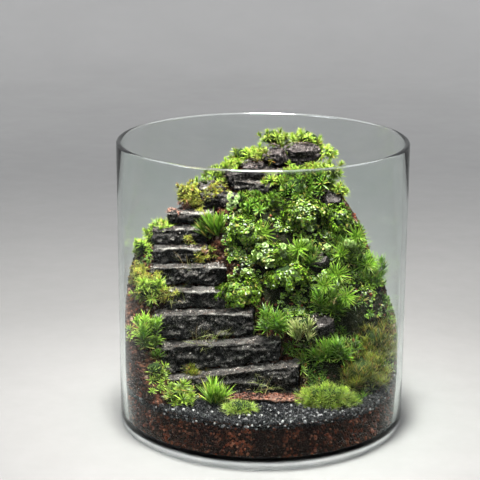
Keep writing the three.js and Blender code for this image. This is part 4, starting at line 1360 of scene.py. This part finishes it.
GROWTHS = [  # name, finish, slot, spacing, how far up it points, star or function, (x, z, radius)
    ("golden_moss_on_steps", "golden_moss", "golden_moss", 2.4, 0.8,
     (3.6, 12, 0.55, 8, 80, SPIKE, 0.1),
     [(-30, 165, 7), (-36, 162, 5), (-50, 130, 5), (-38, 121, 6), (-44, 118, 6), (-21, 120, 4),
      (-84, 106, 6), (-88, 112, 4), (-66, 90, 7), (-46, 154, 6), (-14, 92, 4), (-74, 104, 5)]),
    ("pale_rosettes", "pale_rosette_moss", "leafy_moss", 2.8, 0.3,
     (3.6, 9, 2.808, 35, 100, ROUND, 0.15),
     [(-4, 120, 4), (4, 114, 4), (15, 123, 4), (1, 126, 3), (-20, 159, 5), (-23, 153, 4),
      (30, 130, 3), (48, 124, 5), (-10, 108, 3), (62, 128, 4), (34, 140, 3), (20, 106, 3)]),
    ("star_heads", "fresh_moss", "needle_moss", 1.0, 0.8, heads_to_the_light,
     [(73, 112, 1), (56, 119, 1), (66, 132, 1), (26, 122, 1), (44, 96, 1), (0, 134, 1),
      (60, 88, 1), (52, 104, 1)]),
    ("bright_stars_on_left", "star_moss", "star_moss", 4.6, 0.8,
     (7.0, 24, 0.85, 6, 84, SPIKE, 0.06),
     [(-77, 97, 8), (-85, 127, 4), (-71, 139, 5), (-60, 20, 6), (-69, 33, 3)]),
    ("long_leaves_on_left", "shaded_star_moss", "needle_moss", 3.0, 1.6,
     (10.0, 20, 0.85, 4, 50, SPIKE, 0.12),
     [(-80, 60, 3), (-77, 51, 3), (-75, 43, 3)]),
    ("needles_beside_steps", "needle_moss", "needle_moss", 3.4, 0.9,
     (8.5, 20, 0.6, 4, 80, SPIKE, 0.12),
     [(18, 53, 4), (23, 48, 4), (27, 43, 4), (31, 38, 4), (9, 70, 4), (32, 53, 4), (36, 46, 4),
      (2, 78, 3)]),
    ("brown_tufts", "brown_moss", "brown_moss", 2.8, 1.0, (6.5, 18, 0.42, 4, 64, NEEDLE, 0.15),
     [(-51, 35, 6), (-44, 33, 5), (-4, 187, 3), (0, 192, 3), (8, 186, 3)]),
    ("grass_at_risers", "thread_grass", "needle_moss", 2.5, 0.5, grass,
     [(-59, 86, 6), (-66, 88, 5), (-40, 56, 8), (-30, 58, 6), (0, 22, 8), (8, 20, 5),
      (-52, 112, 5), (52, 88, 5), (30, 60, 5)]),
    ("dry_sprigs", "dry_sprigs", "soil", 1.7, 0.8, (3.0, 9, 0.5, 20, 95, SPIKE, 0.3),
     [(-60, 153, 6), (-66, 152, 5), (-54, 154, 5), (-40, 124, 4)]),
]
rng = np.random.default_rng(95)
for name, finish, slot, spacing, upward, shoot, spots in GROWTHS:
    parts = []
    for x, z, radius in spots:
        places, aims = on_the_front(x, z, radius, spacing, upward)
        if len(places):
            parts.append(shoot(places, aims) if callable(shoot)
                         else stars(places, aims, shoot, rng))
    moss_piece(name, parts, moss[finish], slot)

# %% [markdown]
# ## Stage, light and camera
# A round floor bends up into a wall, under one wide soft ceiling lamp, so that the jar can
# be seen from any side. The paper is grey near the jar and paler farther off: a pale floor
# would mirror in the glass and lay a veil over the dark gaps of the moss. A small lamp above
# is the sun of this little hill. It lights the tops of the moss and leaves the faces of the
# steps dark.

# %% Stage
def bowl(flat=1.45, bend=0.6, top=2.2, turns=64):
    """A round floor whose rim curves up into a wall, so that no edge shows from any side."""
    quarter = np.linspace(0, math.pi / 2, 12)
    profile = [(flat / 3, 0), (flat * 2 / 3, 0)]
    profile += [(flat + bend * math.sin(t), bend - bend * math.cos(t)) for t in quarter]
    profile += [(flat + bend, top)]
    points = [(0.0, 0.0, 0.0)] + [(r * math.cos(a), r * math.sin(a), z) for r, z in profile
                                  for a in np.arange(turns) * 2 * math.pi / turns]
    return points, np.concatenate(disc_faces(len(profile), turns)).tolist()


paper = Finish("pale_paper")
distance = paper.node("ShaderNodeVectorMath", {0: paper.place}, operation="LENGTH")
colour = paper.steps(paper.times(distance.outputs["Value"], 0.4),
                     (0.12, (0.142, 0.141, 0.139)), (0.80, (0.45, 0.447, 0.442)))
paper.surface(paper.shade(colour, paper.spots((6, 3), (0.3, 0.94), (0.7, 1.0))),
              paper.spots((30, 3), (0.3, 0.7), (0.7, 0.85)),
              paper.bump(paper.noise(400, 3), 0.2 * MM, 0.15))
points, triangles = bowl()
mesh = bpy.data.meshes.new("studio_floor")
mesh.from_pydata(points, [], triangles)
mesh.polygons.foreach_set("use_smooth", np.full(len(mesh.polygons), True))
mesh.materials.append(paper.material)
floor = bpy.data.objects.new("studio_floor", mesh)
scene.collection.objects.link(floor)


# %% Lights
def area_lamp(name, place, target, size, watts, colour, spread=180):
    lamp = bpy.data.lights.new(name, "AREA")
    lamp.shape, lamp.size, lamp.energy, lamp.color = "DISK", size, watts, colour
    lamp.spread = math.radians(spread)
    holder = bpy.data.objects.new(name, lamp)
    holder.location = place
    away = Vector(target) - Vector(place)
    holder.rotation_euler = away.to_track_quat("-Z", "Y").to_euler()
    holder.visible_camera = False
    scene.collection.objects.link(holder)


area_lamp("lamp_above", (-0.03, -0.04, 0.70), (0, 0, 0.05), 0.18, 7.0, (1.0, 0.98, 0.94), 100)
area_lamp("lamp_left", (-0.75, -0.45, 0.75), (0, 0, 0.1), 0.5, 1.2, (0.94, 0.97, 1.0), 110)
area_lamp("wide_ceiling", (0, 0, 1.6), (0, 0, 0), 3.8, 70, (0.97, 0.98, 1.0))
world = bpy.data.worlds.new("soft_room")
scene.world = world
world.use_nodes = True
world.node_tree.nodes["Background"].inputs["Color"].default_value = (0.93, 0.95, 1.0, 1)
world.node_tree.nodes["Background"].inputs["Strength"].default_value = 0.06
scene.view_settings.view_transform = "Standard"

# %% [markdown]
# The camera stands where the photographer stood: a metre in front, 41 cm above the table,
# looking 15 degrees down through a long lens.

# %% Camera
camera_data = bpy.data.cameras.new("camera")
camera_data.lens, camera_data.sensor_width = 112.5, 36
camera_data.clip_start, camera_data.clip_end = 0.05, 20
camera = bpy.data.objects.new("camera", camera_data)
scene.collection.objects.link(camera)
pitch, yaw, roll = (math.radians(angle) for angle in (15.33, -0.876, -0.219))
forward = Vector((math.sin(yaw) * math.cos(pitch), math.cos(yaw) * math.cos(pitch),
                  -math.sin(pitch)))
right = forward.cross(Vector((0, 0, 1))).normalized()
upright = right.cross(forward)
right, upright = (math.cos(roll) * right - math.sin(roll) * upright,
                  math.sin(roll) * right + math.cos(roll) * upright)
pose = Matrix((right, upright, -forward)).transposed().to_4x4()
pose.translation = EYE
camera.matrix_world = pose
scene.camera = camera

# %% Sizes and finish
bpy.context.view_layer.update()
print("all pieces:", len(made), "with", sum(made.values()), "triangles, heaviest",
      max(made, key=made.get))
